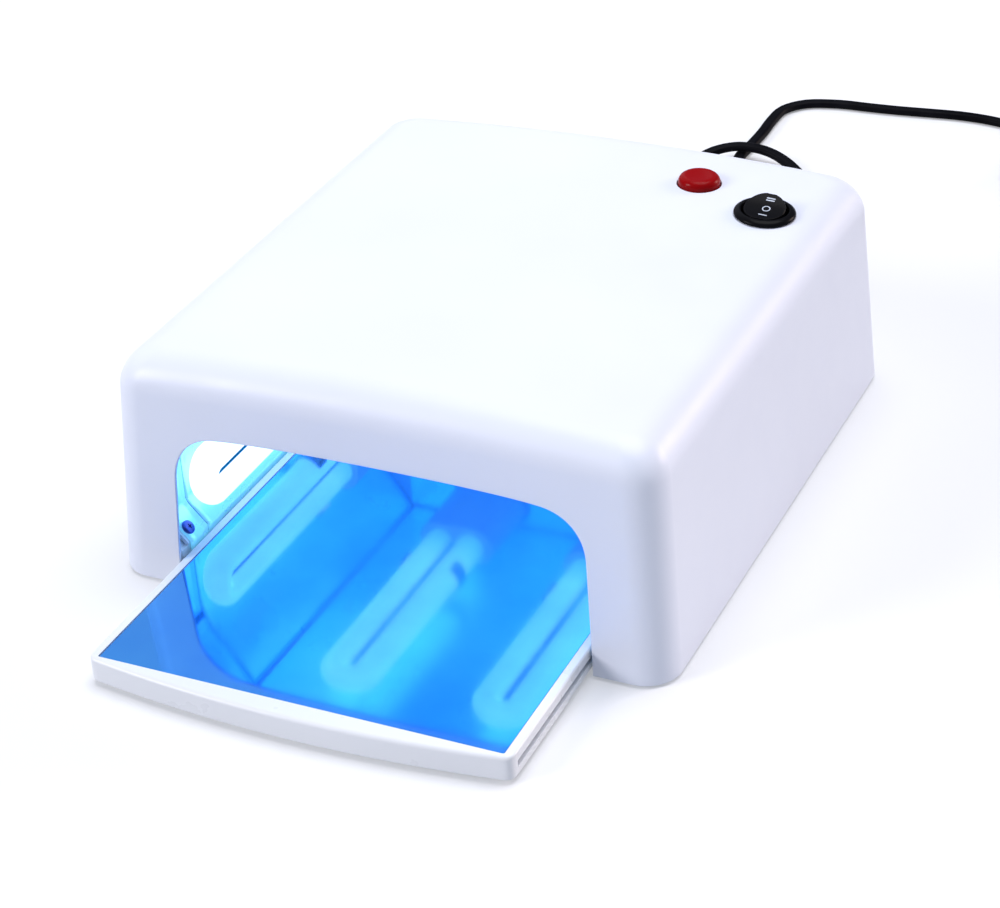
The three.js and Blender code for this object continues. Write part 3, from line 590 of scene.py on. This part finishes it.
def cord_section(arc_steps=7, waist=0.28):
    """Two cores side by side: round ends and a shallow waist along both faces."""
    round_end = CORD_THICK / 2
    flat = CORD_WIDE / 2 - round_end
    points = []
    for side in (1, -1):
        for i in range(arc_steps + 1):
            angle = -math.pi / 2 + math.pi * i / arc_steps
            points.append((side * (flat + round_end * math.cos(angle)), side * round_end * math.sin(angle)))
        points.append((0.0, side * (round_end - waist)))
    return points


def build_cord(with_pieces):
    line = smooth_line(ROUTE + coil_turns() + TAIL, 4)
    cord = skin("flat_twin_cord", level_rings(line, cord_section()))
    place(cord, "lamp", cord_black, ("mains_cord", "cord_coil", "cord_tail"))


def build_strain_relief():
    """A collar and a ribbed sleeve that let the cord bend without a kink."""
    root = BACK_Y - 1.24
    profile = [(0, -9), (4.6, -9), (7.0, -5.0), (7.2, -4.5), (7.2, -3.4), (5.2, -3.4), (5.2, 0.8),
               (7.1, 0.8), (7.4, 1.1), (7.4, 1.9), (7.1, 2.2)]
    for rib in range(3):
        y = 2.2 + rib * 7.2
        radius = 5.6 - rib * 0.42
        profile += [(radius - 0.25, y), (radius, y + 0.4), (radius - 0.1, y + 5.0), (radius - 0.4, y + 5.4),
                    (radius - 1, y + 5.5), (radius - 1, y + 7.1)]
    profile += [(3.6, 23.9), (3.5, 24.2), (3.4, 25.6), (3.0, 26.0), (0, 26.0)]
    turn = Matrix.Translation((EXIT[0], root, EXIT[2])) @ Matrix.Rotation(-math.pi / 2, 4, "X")
    relief = finish_edges(turned("strain_relief_sleeve", profile, 40, turn))
    return place(relief, "lamp", rubber, ("strain_relief",))


def build_plug():
    """A moulded two-pin plug: wide flat body, narrow neck and finger grooves."""
    stations = [(0.0, 3.9, 3.1), (0.5, 4.2, 3.4), (6, 4.6, 3.8), (12, 5.2, 4.2), (14, 6.6, 4.9),
                (17, 9.4, 6.0), (21, 11.8, 6.8), (25, 12.9, 7.0), (27, 13.0, 7.0)]
    for groove in range(3):
        start = 28.5 + groove * 3.2
        stations += [(start, 13.0, 7.0), (start + 0.5, 12.5, 6.6), (start + 1.1, 12.5, 6.6),
                     (start + 1.6, 13.0, 7.0)]
    stations += [(42, 13.0, 7.0), (44.6, 12.8, 6.8), (45.6, 12.2, 6.3), (46, 11.5, 5.6)]
    rings = []
    for back, half_wide, half_tall in stations:
        corner = min(half_tall * 0.72, half_wide * 0.8)
        ring = rounded_rectangle(half_wide, half_tall, corner, 6)
        rings.append([(PLUG_X + x, PLUG_END_Y - back, PLUG_Z + z) for x, z in ring])
    plug = finish_edges(skin("plug_moulding", rings), 40)
    pieces = [place(plug, "lamp", rubber, ("plug_body",))]
    face = PLUG_END_Y - 46
    profile = [(0, -2.4), (2.0, -2.4), (2.0, 17.4), (1.85, 18.2), (1.4, 18.8), (0.8, 19.0), (0, 19.0)]
    for number, x in enumerate((-9.3, 9.3), 1):
        turn = Matrix.Translation((PLUG_X + x, face, PLUG_Z)) @ Matrix.Rotation(math.pi / 2, 4, "X")
        pin = finish_edges(turned(f"plug_contact_{number}", profile, 28, turn))
        pieces.append(place(pin, "lamp", steel, (f"plug_pin_{number}",)))
    return pieces


def build_tie():
    """A soft flat strap, closed round the coil's turns."""
    low, high = 0.3, 8.75
    near, far = INNER_TURN - 3.75, OUTER_TURN + 3.6
    centre = ((near + far) / 2, (low + high) / 2)
    loop = rounded_rectangle((far - near) / 2, (high - low) / 2, 2.4, 6)
    section = ((-0.25, 2.75), (0.25, 2.75), (0.25, -2.75), (-0.25, -2.75))
    turn = Matrix.Translation((*COIL_CENTRE, 0)) @ Matrix.Rotation(math.radians(205), 4, "Z")
    rings = []
    for (r, z), (nr, nz) in zip(loop, outward(loop)):
        rings.append([turn @ Vector((centre[0] + r + nr * grow, half, centre[1] + z + nz * grow))
                      for grow, half in section])
    tie = skin("coil_strap", rings, closed=True)
    finish_edges(tie, 34, 0.15)
    return place(tie, "lamp", rubber, ("cord_tie",))


# ---------- housing ----------


def dome_lift(x, z):
    return DOME_RISE * (z / EDGE_HEIGHT) ** 2 * (1 - (x / BODY_HALF) ** 2)


def front_wall(z):
    return FRONT_Y + SIDE_LEAN * z / EDGE_HEIGHT


def housing_ring(z, inset, arc_steps=12, edge_steps=26):
    half = BODY_HALF - SIDE_LEAN * z / EDGE_HEIGHT - inset
    front = front_wall(z) + inset
    back = BACK_Y - BACK_LEAN * z / EDGE_HEIGHT - inset
    radius = max(CORNER_ROUND - 0.6 * inset, 3)
    row = []
    for i in range(arc_steps + 1):
        angle = i / arc_steps * math.pi / 2
        row.append((-half + radius * (1 - math.cos(angle)), radius * (1 - math.sin(angle))))
    for i in range(1, edge_steps):
        row.append(((half - radius) * (2 * i / edge_steps - 1), 0))
    row += [(-x, step) for x, step in reversed(row[:arc_steps + 1])]
    near = [(x, front + step, z + dome_lift(x, z)) for x, step in row]
    far = [(x, back - step, z + dome_lift(x, z)) for x, step in row]
    return near + far[::-1]


def housing_skin(name, inset, bottom, foot_round=0.0, round_steps=12):
    """The housing's outside for inset 0, or its inside for inset WALL."""
    radius = TOP_ROUND - inset
    shoulder = EDGE_HEIGHT - TOP_ROUND
    levels = []
    if foot_round:
        levels += [(bottom + foot_round * (1 - math.cos(a)), inset + foot_round * (1 - math.sin(a)))
                   for a in (0.0, 0.5, 1.0, math.pi / 2)]
    else:
        levels.append((bottom, inset))
    start = levels[-1][0]
    levels += [(start + (shoulder - start) * k / 8, inset) for k in range(1, 8)]
    for i in range(round_steps + 1):
        angle = i / round_steps * math.pi / 2
        levels.append((shoulder + radius * math.sin(angle), inset + radius * (1 - math.cos(angle))))
    rings = [housing_ring(z, depth) for z, depth in levels]
    count = len(rings[0])
    obj_points = [p for ring in rings for p in ring]
    faces = []
    for level in range(len(rings) - 1):
        for i in range(count):
            a = level * count + i
            b = level * count + (i + 1) % count
            faces.append((a, b, b + count, a + count))
    top = (len(rings) - 1) * count
    for i in range(count // 2 - 1):
        j = count - 1 - i
        faces.append((j, j - 1, i + 1, i))
        faces.append((top + i, top + i + 1, top + j - 1, top + j))
    return mesh_object(name, obj_points, faces)


def opening_outline():
    """The front opening in X and Z, counter-clockwise seen from the front."""
    sx, sz = SHOULDER
    right = [(OPENING_HALF_LOW, -5.0), (OPENING_HALF_HIGH, OPENING_CORNER_Z)]
    right += bezier(right[-1], (OPENING_HALF_HIGH - 0.2, 52), (69, sz - 0.6), SHOULDER, 18)
    crown_pull = 2 * CROWN_Z - sz
    third = (sx * 2 / 3, sz + (crown_pull - sz) * 2 / 3)
    half_crown = bezier(SHOULDER, third, (-third[0], third[1]), (-sx, sz), 32)[:-1]
    return right + half_crown + [(-x, z) for x, z in reversed(right)]


def opening_tool(edge_round=0.45):
    """Cuts the opening: a small round at its front edge, and a step that leaves the edge thin."""
    outline = opening_outline()
    ways = outward(outline)
    shallow = math.radians(10)
    lead = (edge_round * (1 - math.cos(shallow)) + 0.5) / math.sin(shallow)
    levels = [(edge_round * (1 - math.sin(shallow)) + lead * math.cos(shallow), -0.5)]
    for i in range(7):
        angle = shallow + (math.pi / 2 - shallow) * i / 6
        levels.append((edge_round * (1 - math.sin(angle)), edge_round * (1 - math.cos(angle))))
    levels += [(0.0, 0.95), (1.5, 1.1), (1.5, 9.0)]
    rings = []
    for offset, depth in levels:
        rings.append([(x + nx * offset, front_wall(z + nz * offset) + depth, z + nz * offset)
                      for (x, z), (nx, nz) in zip(outline, ways)])
    return skin("opening_tool", rings)


def seat(at):
    """The place on the domed top at x, y, with +Z square to the surface there."""
    x, y = at
    slope = math.atan(2 * DOME_RISE * x / BODY_HALF ** 2)
    middle = Vector((x, y, EDGE_HEIGHT + dome_lift(x, EDGE_HEIGHT)))
    return Matrix.Translation(middle) @ Matrix.Rotation(slope, 4, "Y")


def hole_tool(at, radius, edge_round=0.35):
    """A round hole through the top, with a small round at its upper edge."""
    profile = [(0, -8.0), (radius, -8.0), (radius, -edge_round)]
    for i in range(1, 5):
        angle = i / 4 * math.radians(76)
        profile.append((radius + edge_round * (1 - math.cos(angle)), -edge_round * (1 - math.sin(angle))))
    last_radius = profile[-1][0]
    profile += [(last_radius + 1.6, 0.4), (0, 0.4)]
    return turned("hole_tool", profile, 56, seat(at))


def vent_tools(count=9, pitch=9.0, left=-66.0, low=38.0, high=66.0, half=1.75):
    """Slots with round ends through the back wall."""
    slots = []
    for i in range(count):
        outline = rounded_rectangle(half, (high - low) / 2, half - 0.02, 6)
        x = left + i * pitch
        middle = (low + high) / 2
        slots.append(skin("slot", [[(x + a, y, middle + b) for a, b in outline] for y in (153.0, 136.0)]))
    return merged("vent_tool", slots)


SCREW_POSTS = [(-93.5, -66.0), (93.5, -66.0), (-94.0, 134.0), (94.0, 134.0)]


def build_housing():
    """The white shell: rounded and domed outside, hollow inside, with its holes."""
    shell = housing_skin("housing_shell", 0.0, HOUSING_BOTTOM, 0.5)
    combine(shell, housing_skin("hollow", WALL, -3.0))
    for x, y in SCREW_POSTS:
        post = turned("post", [(0, 4.6), (3.5, 4.6), (3.5, 74), (0, 74)], 24, Matrix.Translation((x, y, 0)))
        combine(shell, post, "UNION")
    cord_hole = Matrix.Translation((EXIT[0], BACK_Y - 12, EXIT[2])) @ Matrix.Rotation(-math.pi / 2, 4, "X")
    tools = [opening_tool(), hole_tool(BUTTON_AT, BUTTON_HOLE), hole_tool(ROCKER_AT, ROCKER_HOLE),
             vent_tools(), turned("cord_hole", [(0, 0), (5.6, 0), (5.6, 20), (0, 20)], 40, cord_hole)]
    for tool in tools:
        combine(shell, tool)
    finish_edges(shell, 32)
    place(shell, "lamp", housing_white, ("top_housing",))


# ---------- tray ----------


def tray_outline():
    """The tray seen from above, counter-clockwise, with its bulging front edge."""
    corner = 3.4
    front = TRAY_FRONT

    def curve(a, b, c, steps):
        points = []
        for i in range(1, steps + 1):
            t = i / steps
            points.append(tuple((1 - t) ** 2 * a[k] + 2 * t * (1 - t) * b[k] + t * t * c[k]
                                for k in (0, 1)))
        return points

    left_side = (-TRAY_HALF, front + corner)
    left_front = (corner - TRAY_HALF, front - 0.5)
    right_front = (TRAY_HALF - corner, front - 0.5)
    right_side = (TRAY_HALF, front + corner)
    points = [left_side]
    points += curve(left_side, (-TRAY_HALF, front), left_front, 7)
    points += curve(left_front, (0, front + 0.5 - 2 * TRAY_BULGE), right_front, 44)
    points += curve(right_front, (TRAY_HALF, front), right_side, 7)
    sides = [(TRAY_HALF, front + corner + (TRAY_BACK - front - corner) * k / 24) for k in range(1, 25)]
    points += sides
    points += [(TRAY_HALF * (1 - 2 * k / 12), TRAY_BACK) for k in range(1, 13)]
    points += [(-x, y) for x, y in reversed(sides[:-1])]
    return points


def build_tray():
    """The pull-out tray: a plate with a curved lip, a sheet recess, pockets below and side grooves."""
    outline = tray_outline()
    ways = outward(outline)
    rings = []
    for i in range(4):
        angle = i / 3 * math.pi / 2
        inset = TRAY_FOOT_ROUND * (1 - math.sin(angle))
        z = TRAY_BOTTOM + TRAY_FOOT_ROUND * (1 - math.cos(angle))
        rings.append([(x - nx * inset, y - ny * inset, z) for (x, y), (nx, ny) in zip(outline, ways)])
    rings.append([(x, y, 2.9) for x, y in outline])
    rings.append([(x, y, 8.4) for x, y in outline])
    for i in range(8):
        angle = i / 7 * math.pi / 2
        ring = []
        for (x, y), (nx, ny) in zip(outline, ways):
            radius = 0.8 + 0.9 * max(0.0, -ny) ** 2
            inset = radius * (1 - math.cos(angle))
            ring.append((x - nx * inset, y - ny * inset, TRAY_TOP - radius * (1 - math.sin(angle))))
        rings.append(ring)
    shell = skin("tray_shell", rings)
    recess_half_y = (MIRROR_BACK - MIRROR_FRONT) / 2
    recess_mid_y = (MIRROR_BACK + MIRROR_FRONT) / 2
    recess = rounded_rectangle(MIRROR_HALF, recess_half_y, 0.6, 4)
    combine(shell, skin("recess", [[(x, y + recess_mid_y, z) for x, y in recess] for z in (9.7, 13.0)]))
    pocket = rounded_rectangle(34.5, (TRAY_BACK - 2 - TRAY_FRONT - 4) / 2, 3.0, 5)
    pocket_mid_y = (TRAY_BACK - 2 + TRAY_FRONT + 4) / 2
    for side in (-1, 1):
        combine(shell, skin("pocket", [[(side * 36 + x, y + pocket_mid_y, z) for x, y in pocket]
                                       for z in (0.0, TRAY_DECK)]))
        groove = side * 78.4
        combine(shell, box(groove - 5, groove + 5, TRAY_FRONT + 4, TRAY_BACK + 1, 5.0, 7.4))
        combine(shell, box(groove - 8, groove + 8, FRONT_Y - 17, TRAY_BACK + 1, 0.0, 3.1))
    finish_edges(shell, 30)
    place(shell, "tray", tray_white, ("tray",))


def build_tray_mirror():
    """The mirror sheet in the tray: a thin plate with eased edges."""
    half_x = MIRROR_HALF - 0.3
    half_y = (MIRROR_BACK - MIRROR_FRONT) / 2 - 0.3
    middle = (MIRROR_BACK + MIRROR_FRONT) / 2
    rings = []
    for inset, z in ((0.0, 10.0), (0.0, 10.58), (0.04, 10.66), (0.12, 10.7)):
        outline = rounded_rectangle(half_x - inset, half_y - inset, 0.5, 4)
        rings.append([(x, y + middle, z) for x, y in outline])
    sheet = finish_edges(skin("tray_mirror_plate", rings))
    # The sheet's blue colour is a painted reflection of the lit chamber.
    place(sheet, "tray", tray_painted_reflection, ("tray_mirror",))


# ---------- chamber lining ----------


def side_lining_path(depth):
    """The lining's line from the chamber's foot to its ceiling, bending gently at the haunch."""
    foot_x = LINING_FOOT_X - depth
    wall_x = LINING_WALL_X - depth
    start = [(foot_x, LINING_FOOT_Z), (foot_x, 13.2 + 0.3 * depth)]
    wide = (wall_x, 21.5 + 0.3 * depth)
    start += [(wide[0] - 1.6, wide[1] - 1.7), (wide[0] - 0.5, wide[1] - 0.3), (wide[0], wide[1] + 1.2)]
    start += [(wall_x, z) for z in (28.0, 34.0, 40.0)]
    haunch = bezier((wall_x, 40.0), (85.3 - depth, 50.0), (80.2 - depth, 56.5), (75.2 - depth, 62.0), 9)
    ceiling_end = (66 - 0.6 * depth, 75.2 - depth)
    ceiling = bezier(haunch[-1], (71.0 - depth, 67.0), (68.5 - 0.6 * depth, 71.5), ceiling_end, 6)
    return start + haunch + ceiling


def lining_strip(name, side, y0, y1, depth, part):
    """A strip of film, gently wavy along the chamber. part picks a share of the profile."""
    path = side_lining_path(depth)
    low, high = (int(share * (len(path) - 1)) for share in part)
    path = path[low:high + 1]
    steps = max(2, int((y1 - y0) / 3))
    rings = []
    for i in range(steps + 1):
        y = y0 + (y1 - y0) * i / steps
        near = []
        far = []
        for k, (x, z) in enumerate(path):
            wave = 0.10 * math.sin(0.11 * y + 0.9 * k) + 0.06 * math.sin(0.23 * y - 0.5 * k)
            near.append((side * (x - 0.12 + wave), y, z))
            far.append((side * (x + 0.12 + wave), y, z))
        rings.append(near + far[::-1])
    return skin(name, rings)


def build_side_lining(name, side):
    """Mirror film on a side wall: a narrow front strip in two pieces, and the long sheet behind it. Dark
    strips at the seam and at the split of the front strip are painted shade for the gaps between the
    pieces.
    """
    front_y = CHAMBER_FRONT + 1.0
    seam_y = front_y + 11.5
    back_y = CHAMBER_BACK - 1
    long_sheet = lining_strip(f"lining_{name}_long", side, seam_y + 0.45, back_y, 0.45, (0.0, 1.0))
    place(long_sheet, "lamp", lining, (f"mirror_film_{name}",))
    # A dark strip under the seam: painted shade where the gap between the film pieces lies in shadow.
    seam = lining_strip(f"lining_{name}_seam", side, seam_y - 0.6, seam_y + 1.0, 0.16, (0.0, 1.0))
    place(seam, "lamp", seam_painted_shade)
    for part_name, part in (("low", (0.0, 0.44)), ("high", (0.47, 1.0))):
        strip = lining_strip(f"lining_{name}_front_{part_name}", side, front_y, seam_y, 0.45, part)
        place(strip, "lamp", lining)
    # A dark strip in the split of the front strip: painted shade in that gap.
    crease = lining_strip(f"lining_{name}_crease", side, front_y + 0.5, seam_y - 0.3, 0.16, (0.40, 0.52))
    place(crease, "lamp", seam_painted_shade)


# ---------- tubes ----------


def tube_line():
    """The tube's middle line in its own plane: (y, z, share of the full radius) at each station."""
    leg_steps = 10
    bend_steps = 24
    middle = GLASS_RADIUS + LEG_HALF
    line = [(GLASS_LENGTH - (GLASS_LENGTH - middle) * i / leg_steps, LEG_HALF, 1.0)
            for i in range(leg_steps)]
    for i in range(bend_steps + 1):
        angle = math.pi * i / bend_steps
        share = 1 - BEND_THINNING * math.sin(angle)
        reach = LEG_HALF - GLASS_RADIUS * (1 - share)
        line.append((middle - reach * math.sin(angle), reach * math.cos(angle), share))
    line += [(middle + (GLASS_LENGTH - middle) * i / leg_steps, -LEG_HALF, 1.0)
             for i in range(1, leg_steps + 1)]
    return line


def build_tube(name, at, turn):
    """A lamp tube bent into a U: two straight legs and a bend that is drawn thinner at the tip."""
    line = tube_line()
    stand = Matrix.Translation(at) @ Matrix.Rotation(turn, 4, "Y")
    rings = []
    for i, (y, z, share) in enumerate(line):
        before = Vector(line[max(i - 1, 0)][:2])
        after = Vector(line[min(i + 1, len(line) - 1)][:2])
        along = (after - before).normalized()
        ring = []
        for k in range(24):
            angle = 2 * math.pi * k / 24
            side = GLASS_RADIUS * share * math.sin(angle)
            across = GLASS_RADIUS * math.cos(angle)
            ring.append(stand @ Vector((across, y - along.y * side, z + along.x * side)))
        rings.append(ring)
    tube = finish_edges(skin(f"lamp_tube_{name}", rings), 50)
    place(tube, "lamp", tube_light, (f"tube_glass_{name}",))
    build_tube_slit_shade(name, stand)


def build_tube_slit_shade(name, stand):
    """A dark strip in the slit between a tube's two legs: painted shade where the slit lies in shadow."""
    slit = rounded_rectangle(2.0, LEG_HALF - GLASS_RADIUS - 0.06, 0.3, 3)
    ends = (GLASS_RADIUS + LEG_HALF + 1.5, GLASS_LENGTH - 2.0)
    spacer = skin(f"tube_slit_shade_{name}", [[stand @ Vector((x, y, z)) for x, z in slit] for y in ends])
    place(spacer, "lamp", slit_painted_shade)


# ---------- controls ----------


def build_button():
    """The red button: a skirted cap with a round edge and a slightly sunken top."""
    profile = [(0, -5.6), (1.85, -5.6), (2, -5.4), (2, 2.2), (6.3, 2.2), (6.3, -4.1), (9.4, -4.1),
               (9.4, -2.9), (7.85, -2.9), (7.8, 0.7), (7.74, 1.2), (7.58, 1.75), (7.3, 2.25),
               (6.95, 2.65), (6.5, 2.97), (5.95, 3.18), (5.3, 3.28), (4.4, 3.22),
               (3.0, 3.11), (1.5, 3.06), (0, 3.05)]
    cap = finish_edges(turned("red_button", profile, 72, seat(BUTTON_AT)), 38)
    place(cap, "button", red_plastic, ("button_cap",))


def build_rocker_body():
    """The rocker switch's round body with its softly rounded bezel and the well inside it."""
    profile = [(0, -18), (9.6, -18), (9.8, -17.8), (9.8, 0.3), (11.05, 0.3), (11.25, 0.45), (11.3, 0.75),
               (11.22, 1.1), (11.0, 1.45), (10.6, 1.8), (10.1, 2.07), (9.6, 2.24), (9.15, 2.3),
               (8.88, 2.22), (8.74, 2.0), (8.7, 1.6), (8.7, -9.2), (0, -9.2)]
    body = finish_edges(turned("rocker_bezel", profile, 72, seat(ROCKER_AT)), 38)
    place(body, "lamp", black_plastic, ("rocker_body",))


def rocker_top(y):
    """Height of the rocker's hollow top, falling away at its two ends."""
    hollow = 3.0 + 1.4 * (y / 9) ** 2
    end = ROCKER_PIVOT + math.sqrt(64 - y * y)
    return min(hollow, end)


def rocker_frame():
    """The rocker's own place, tilted about its pivot to the position that it rests in."""
    to_pivot = Matrix.Translation((0, 0, ROCKER_PIVOT))
    tilt = Matrix.Rotation(ROCKER_TILT, 4, "X")
    from_pivot = Matrix.Translation((0, 0, -ROCKER_PIVOT))
    return seat(ROCKER_AT) @ to_pivot @ tilt @ from_pivot


def build_rocker():
    """The rocker: round seen from above, hollow on top, with an eased rim."""
    stand = rocker_frame()
    rings = []
    sides = 72
    rim = [(7.6, None), (7.6, 0.5), (7.57, 0.28), (7.48, 0.12), (7.34, 0.03)]
    top = [(radius, 0.0) for radius in (7.15, 6.9, 6.5, 5.6, 4.4, 3.2, 2.0, 0.8)]
    for radius, drop in rim + top:
        ring = []
        for i in range(sides):
            angle = 2 * math.pi * i / sides
            x, y = radius * math.cos(angle), radius * math.sin(angle)
            if drop is None:
                z = ROCKER_PIVOT - math.sqrt(64 - y * y)
            else:
                z = rocker_top(y) - drop
            ring.append(stand @ Vector((x, y, z)))
        rings.append(ring)
    rocker = finish_edges(skin("rocker_paddle", rings), 50)
    place(rocker, "rocker", black_plastic, ("rocker",))


def mark_bar(name, y_mid, half_long=1.6, half_thick=0.27):
    """A short printed bar across the rocker, following its hollow top."""
    outline = rounded_rectangle(half_long, half_thick, 0.08, 3)
    stand = rocker_frame()
    rings = []
    for lift in (-0.05, 0.03):
        rings.append([stand @ Vector((MARK_X + x, y_mid + y, rocker_top(y_mid + y) + lift))
                      for x, y in outline])
    place(skin(name, rings), "rocker", mark_paint)


def mark_ring(name, y_mid, radius=1.32, half_thick=0.2, steps=40):
    """A printed ring in the middle of the rocker."""
    stand = rocker_frame()
    rings = []
    for i in range(steps):
        angle = 2 * math.pi * i / steps
        ring = []
        for r, lift in ((radius - half_thick, -0.05), (radius + half_thick, -0.05),
                        (radius + half_thick, 0.03), (radius - half_thick, 0.03)):
            x, y = MARK_X + r * math.cos(angle), y_mid + r * math.sin(angle)
            ring.append(stand @ Vector((x, y, rocker_top(y) + lift)))
        rings.append(ring)
    place(skin(name, rings, closed=True), "rocker", mark_paint)


# ---------- screws and feet ----------


def cross_recess(stand, depth, half=1.25, slot=0.28):
    """A tool that cuts a cross recess, opening towards +Z of its stand."""
    bars = []
    for a, b in ((half, slot), (slot, half)):
        ring = [(-a, -b), (a, -b), (a, b), (-a, b)]
        rings = [[stand @ Vector((x * share, y * share, z)) for x, y in ring]
                 for z, share in ((-depth, 0.55), (1.0, 1.05))]
        bars.append(skin("bar", rings))
    return bars


def build_screw(name, profile, stand, recess_z, slot_material, node):
    screw = turned(name, profile, 32, stand)
    for bar in cross_recess(stand @ recess_z, 0.9):
        combine(screw, bar)
    finish_edges(screw, 34)
    place(screw, "lamp", slot_material, (node,))


def chamber_screw_stand(side):
    """On the flared foot of the chamber's side wall, square to it."""
    flare = Vector((7.8, 8.3)).normalized()
    x = LINING_FOOT_X + 2.8 * flare.x / flare.y
    inward = Vector((-side * flare.y, 0, flare.x))
    turn = Vector((0, 0, 1)).rotation_difference(inward).to_matrix().to_4x4()
    return Matrix.Translation((side * x, -68.0, 16.0)) @ turn


def build_screws():
    """Two dome-headed screws that hold the chamber, and four base screws seen from below."""
    head = [(0, -8), (1.05, -7), (1.05, 0.9), (2.5, 0.9), (2.6, 1.1), (2.5, 1.6), (2.1, 1.95),
            (1.4, 2.15), (0, 2.2)]
    for name, side in SIDES.items():
        stand = chamber_screw_stand(side)
        build_screw(f"lining_screw_{name}", head, stand, Matrix.Translation((0, 0, 2.2)),
                    screw_dark, f"chamber_screw_{name}")
    base = [(0, -0.2), (2.2, -0.2), (2.4, -0.1), (2.95, 0.35), (3, 0.5), (3, 1.5), (1.2, 1.5),
            (1.2, 11), (0, 12.5)]
    flip = Matrix.Rotation(math.pi, 4, "X")
    for number, (x, y) in enumerate(SCREW_POSTS, 1):
        stand = Matrix.Translation((x, y, 1.6))
        build_screw(f"cross_screw_{number}", base, stand, Matrix.Translation((0, 0, -0.2)) @ flip,
                    steel, f"base_screw_{number}")


def build_feet():
    """Round rubber feet, each with a stem that goes up into the base."""
    profile = [(0, 0.0), (5.2, 0.0), (5.7, 0.12), (6.0, 0.5), (6.0, 0.85), (5.85, 1.0), (2.2, 1.0),
               (2.2, 3.9), (0, 3.9)]
    for number, (x, y) in enumerate([(-90, -46), (90, -46), (-90, 112), (90, 112)], 1):
        pad = finish_edges(turned(f"foot_pad_{number}", profile, 40, Matrix.Translation((x, y, 0))))
        place(pad, "lamp", rubber, (f"foot_{number}",))


# ---------- CAD nodes that keep their shape ----------


def dress(names, material, bevel=0.0):
    """Gives CAD nodes a material and, as a modifier, small rounds on their hard edges."""
    for name in names:
        node = nodes[name]
        node.data.materials.clear()
        node.data.materials.append(material)
        if bevel:
            modifier = node.modifiers.new("edge_round", "BEVEL")
            modifier.width = bevel * MM
            modifier.segments = 2
            modifier.limit_method = "ANGLE"
            modifier.angle_limit = math.radians(50)


TUBES = ("left", "right", "ceiling_left", "ceiling_right")


def dress_nodes():
    # The base frame gets the pale material with painted light from the tubes.
    dress(["base_frame"], pale_base_with_painted_light)
    dress(["reflector_chamber"], inner_white)
    # The ceiling and back film get the lining material, with its painted glow.
    dress(["mirror_film_ceiling", "mirror_film_back"], lining)
    dress([f"tube_base_{t}" for t in TUBES] + [f"tube_socket_{t}" for t in TUBES], inner_white, 0.3)
    dress([f"tube_clip_{t}" for t in TUBES], steel, 0.15)
    dress([f"choke_{i}" for i in range(1, 5)], chokes, 0.4)
    dress(["timer_board", "button_board"], board)
    dress(["board_relay", "board_capacitor", "button_switch"], black_plastic, 0.3)
    dress(["terminal_block"], inner_white, 0.3)
    dress(["button_spring"], steel)
    dress([f"rocker_blade_{i}" for i in range(1, 4)], brass, 0.1)


# ---------- light ----------


def add_sun(name, strength, towards, spread, color):
    """Light that comes from the direction towards, spread over a disc of the sky."""
    data = bpy.data.lights.new(name, "SUN")
    data.energy = strength
    data.angle = math.radians(spread)
    data.color = color
    sun = link(bpy.data.objects.new(name, data))
    sun.rotation_mode = "QUATERNION"
    sun.rotation_quaternion = Vector(towards).to_track_quat("Z", "Y")


def add_panel(name, energy, size, at, aim, color):
    """A square soft box at a place, in metres, that faces another."""
    data = bpy.data.lights.new(name, "AREA")
    data.size = size
    data.energy = energy
    data.color = color
    panel = link(bpy.data.objects.new(name, data))
    panel.location = at
    panel.rotation_mode = "QUATERNION"
    panel.rotation_quaternion = (Vector(at) - Vector(aim)).to_track_quat("Z", "Y")


def add_lights():
    add_sun("overhead", 2.85, (0.08, 0.14, 1.0), 48, (1.0, 0.99, 1.0))
    add_sun("front_left", 1.9, (-0.9, -0.85, 0.65), 24, (1.0, 0.95, 0.96))
    add_sun("back_right", 1.6, (1.0, 1.0, 0.42), 24, (1.0, 0.8, 0.73))
    add_panel("side_panel", 3.6, 1.4, (-0.96, 0.88, 0.92), (-0.06, -0.12, 0.0), (0.86, 0.93, 1.0))
    world = bpy.data.worlds.new("world")
    bpy.context.scene.world = world
    world.use_nodes = True
    background = world.node_tree.nodes["Background"]
    background.inputs["Color"].default_value = (0.55, 0.66, 1.0, 1)
    background.inputs["Strength"].default_value = 0.22


def add_floor():
    floor = mesh_object("floor", [(-3000, -3000, 0), (3000, -3000, 0), (3000, 4000, 0), (-3000, 4000, 0)],
                        [(0, 1, 2, 3)], False)
    floor.data.materials.append(pale_floor())


# ---------- the whole scene ----------

add_camera()
relief = build_strain_relief()
build_cord([relief, *build_plug(), build_tie()])
build_housing()
build_tray()
build_tray_mirror()
for side_name, side_sign in SIDES.items():
    build_side_lining(side_name, side_sign)
    build_tube(side_name, (side_sign * SIDE_TUBE[0], SIDE_TUBE[1], SIDE_TUBE[2]), 0.0)
    ceiling_place = (side_sign * CEILING_TUBE[0], CEILING_TUBE[1], CEILING_TUBE[2])
    build_tube(f"ceiling_{side_name}", ceiling_place, -math.pi / 2)
build_button()
build_rocker_body()
build_rocker()
mark_bar("mark_one", -4.3)
mark_ring("mark_off", -0.35)
mark_bar("mark_two_near", 4.05)
mark_bar("mark_two_far", 5.05)
build_screws()
build_feet()
dress_nodes()
add_floor()
add_lights()
bpy.context.scene.view_settings.view_transform = "Standard"
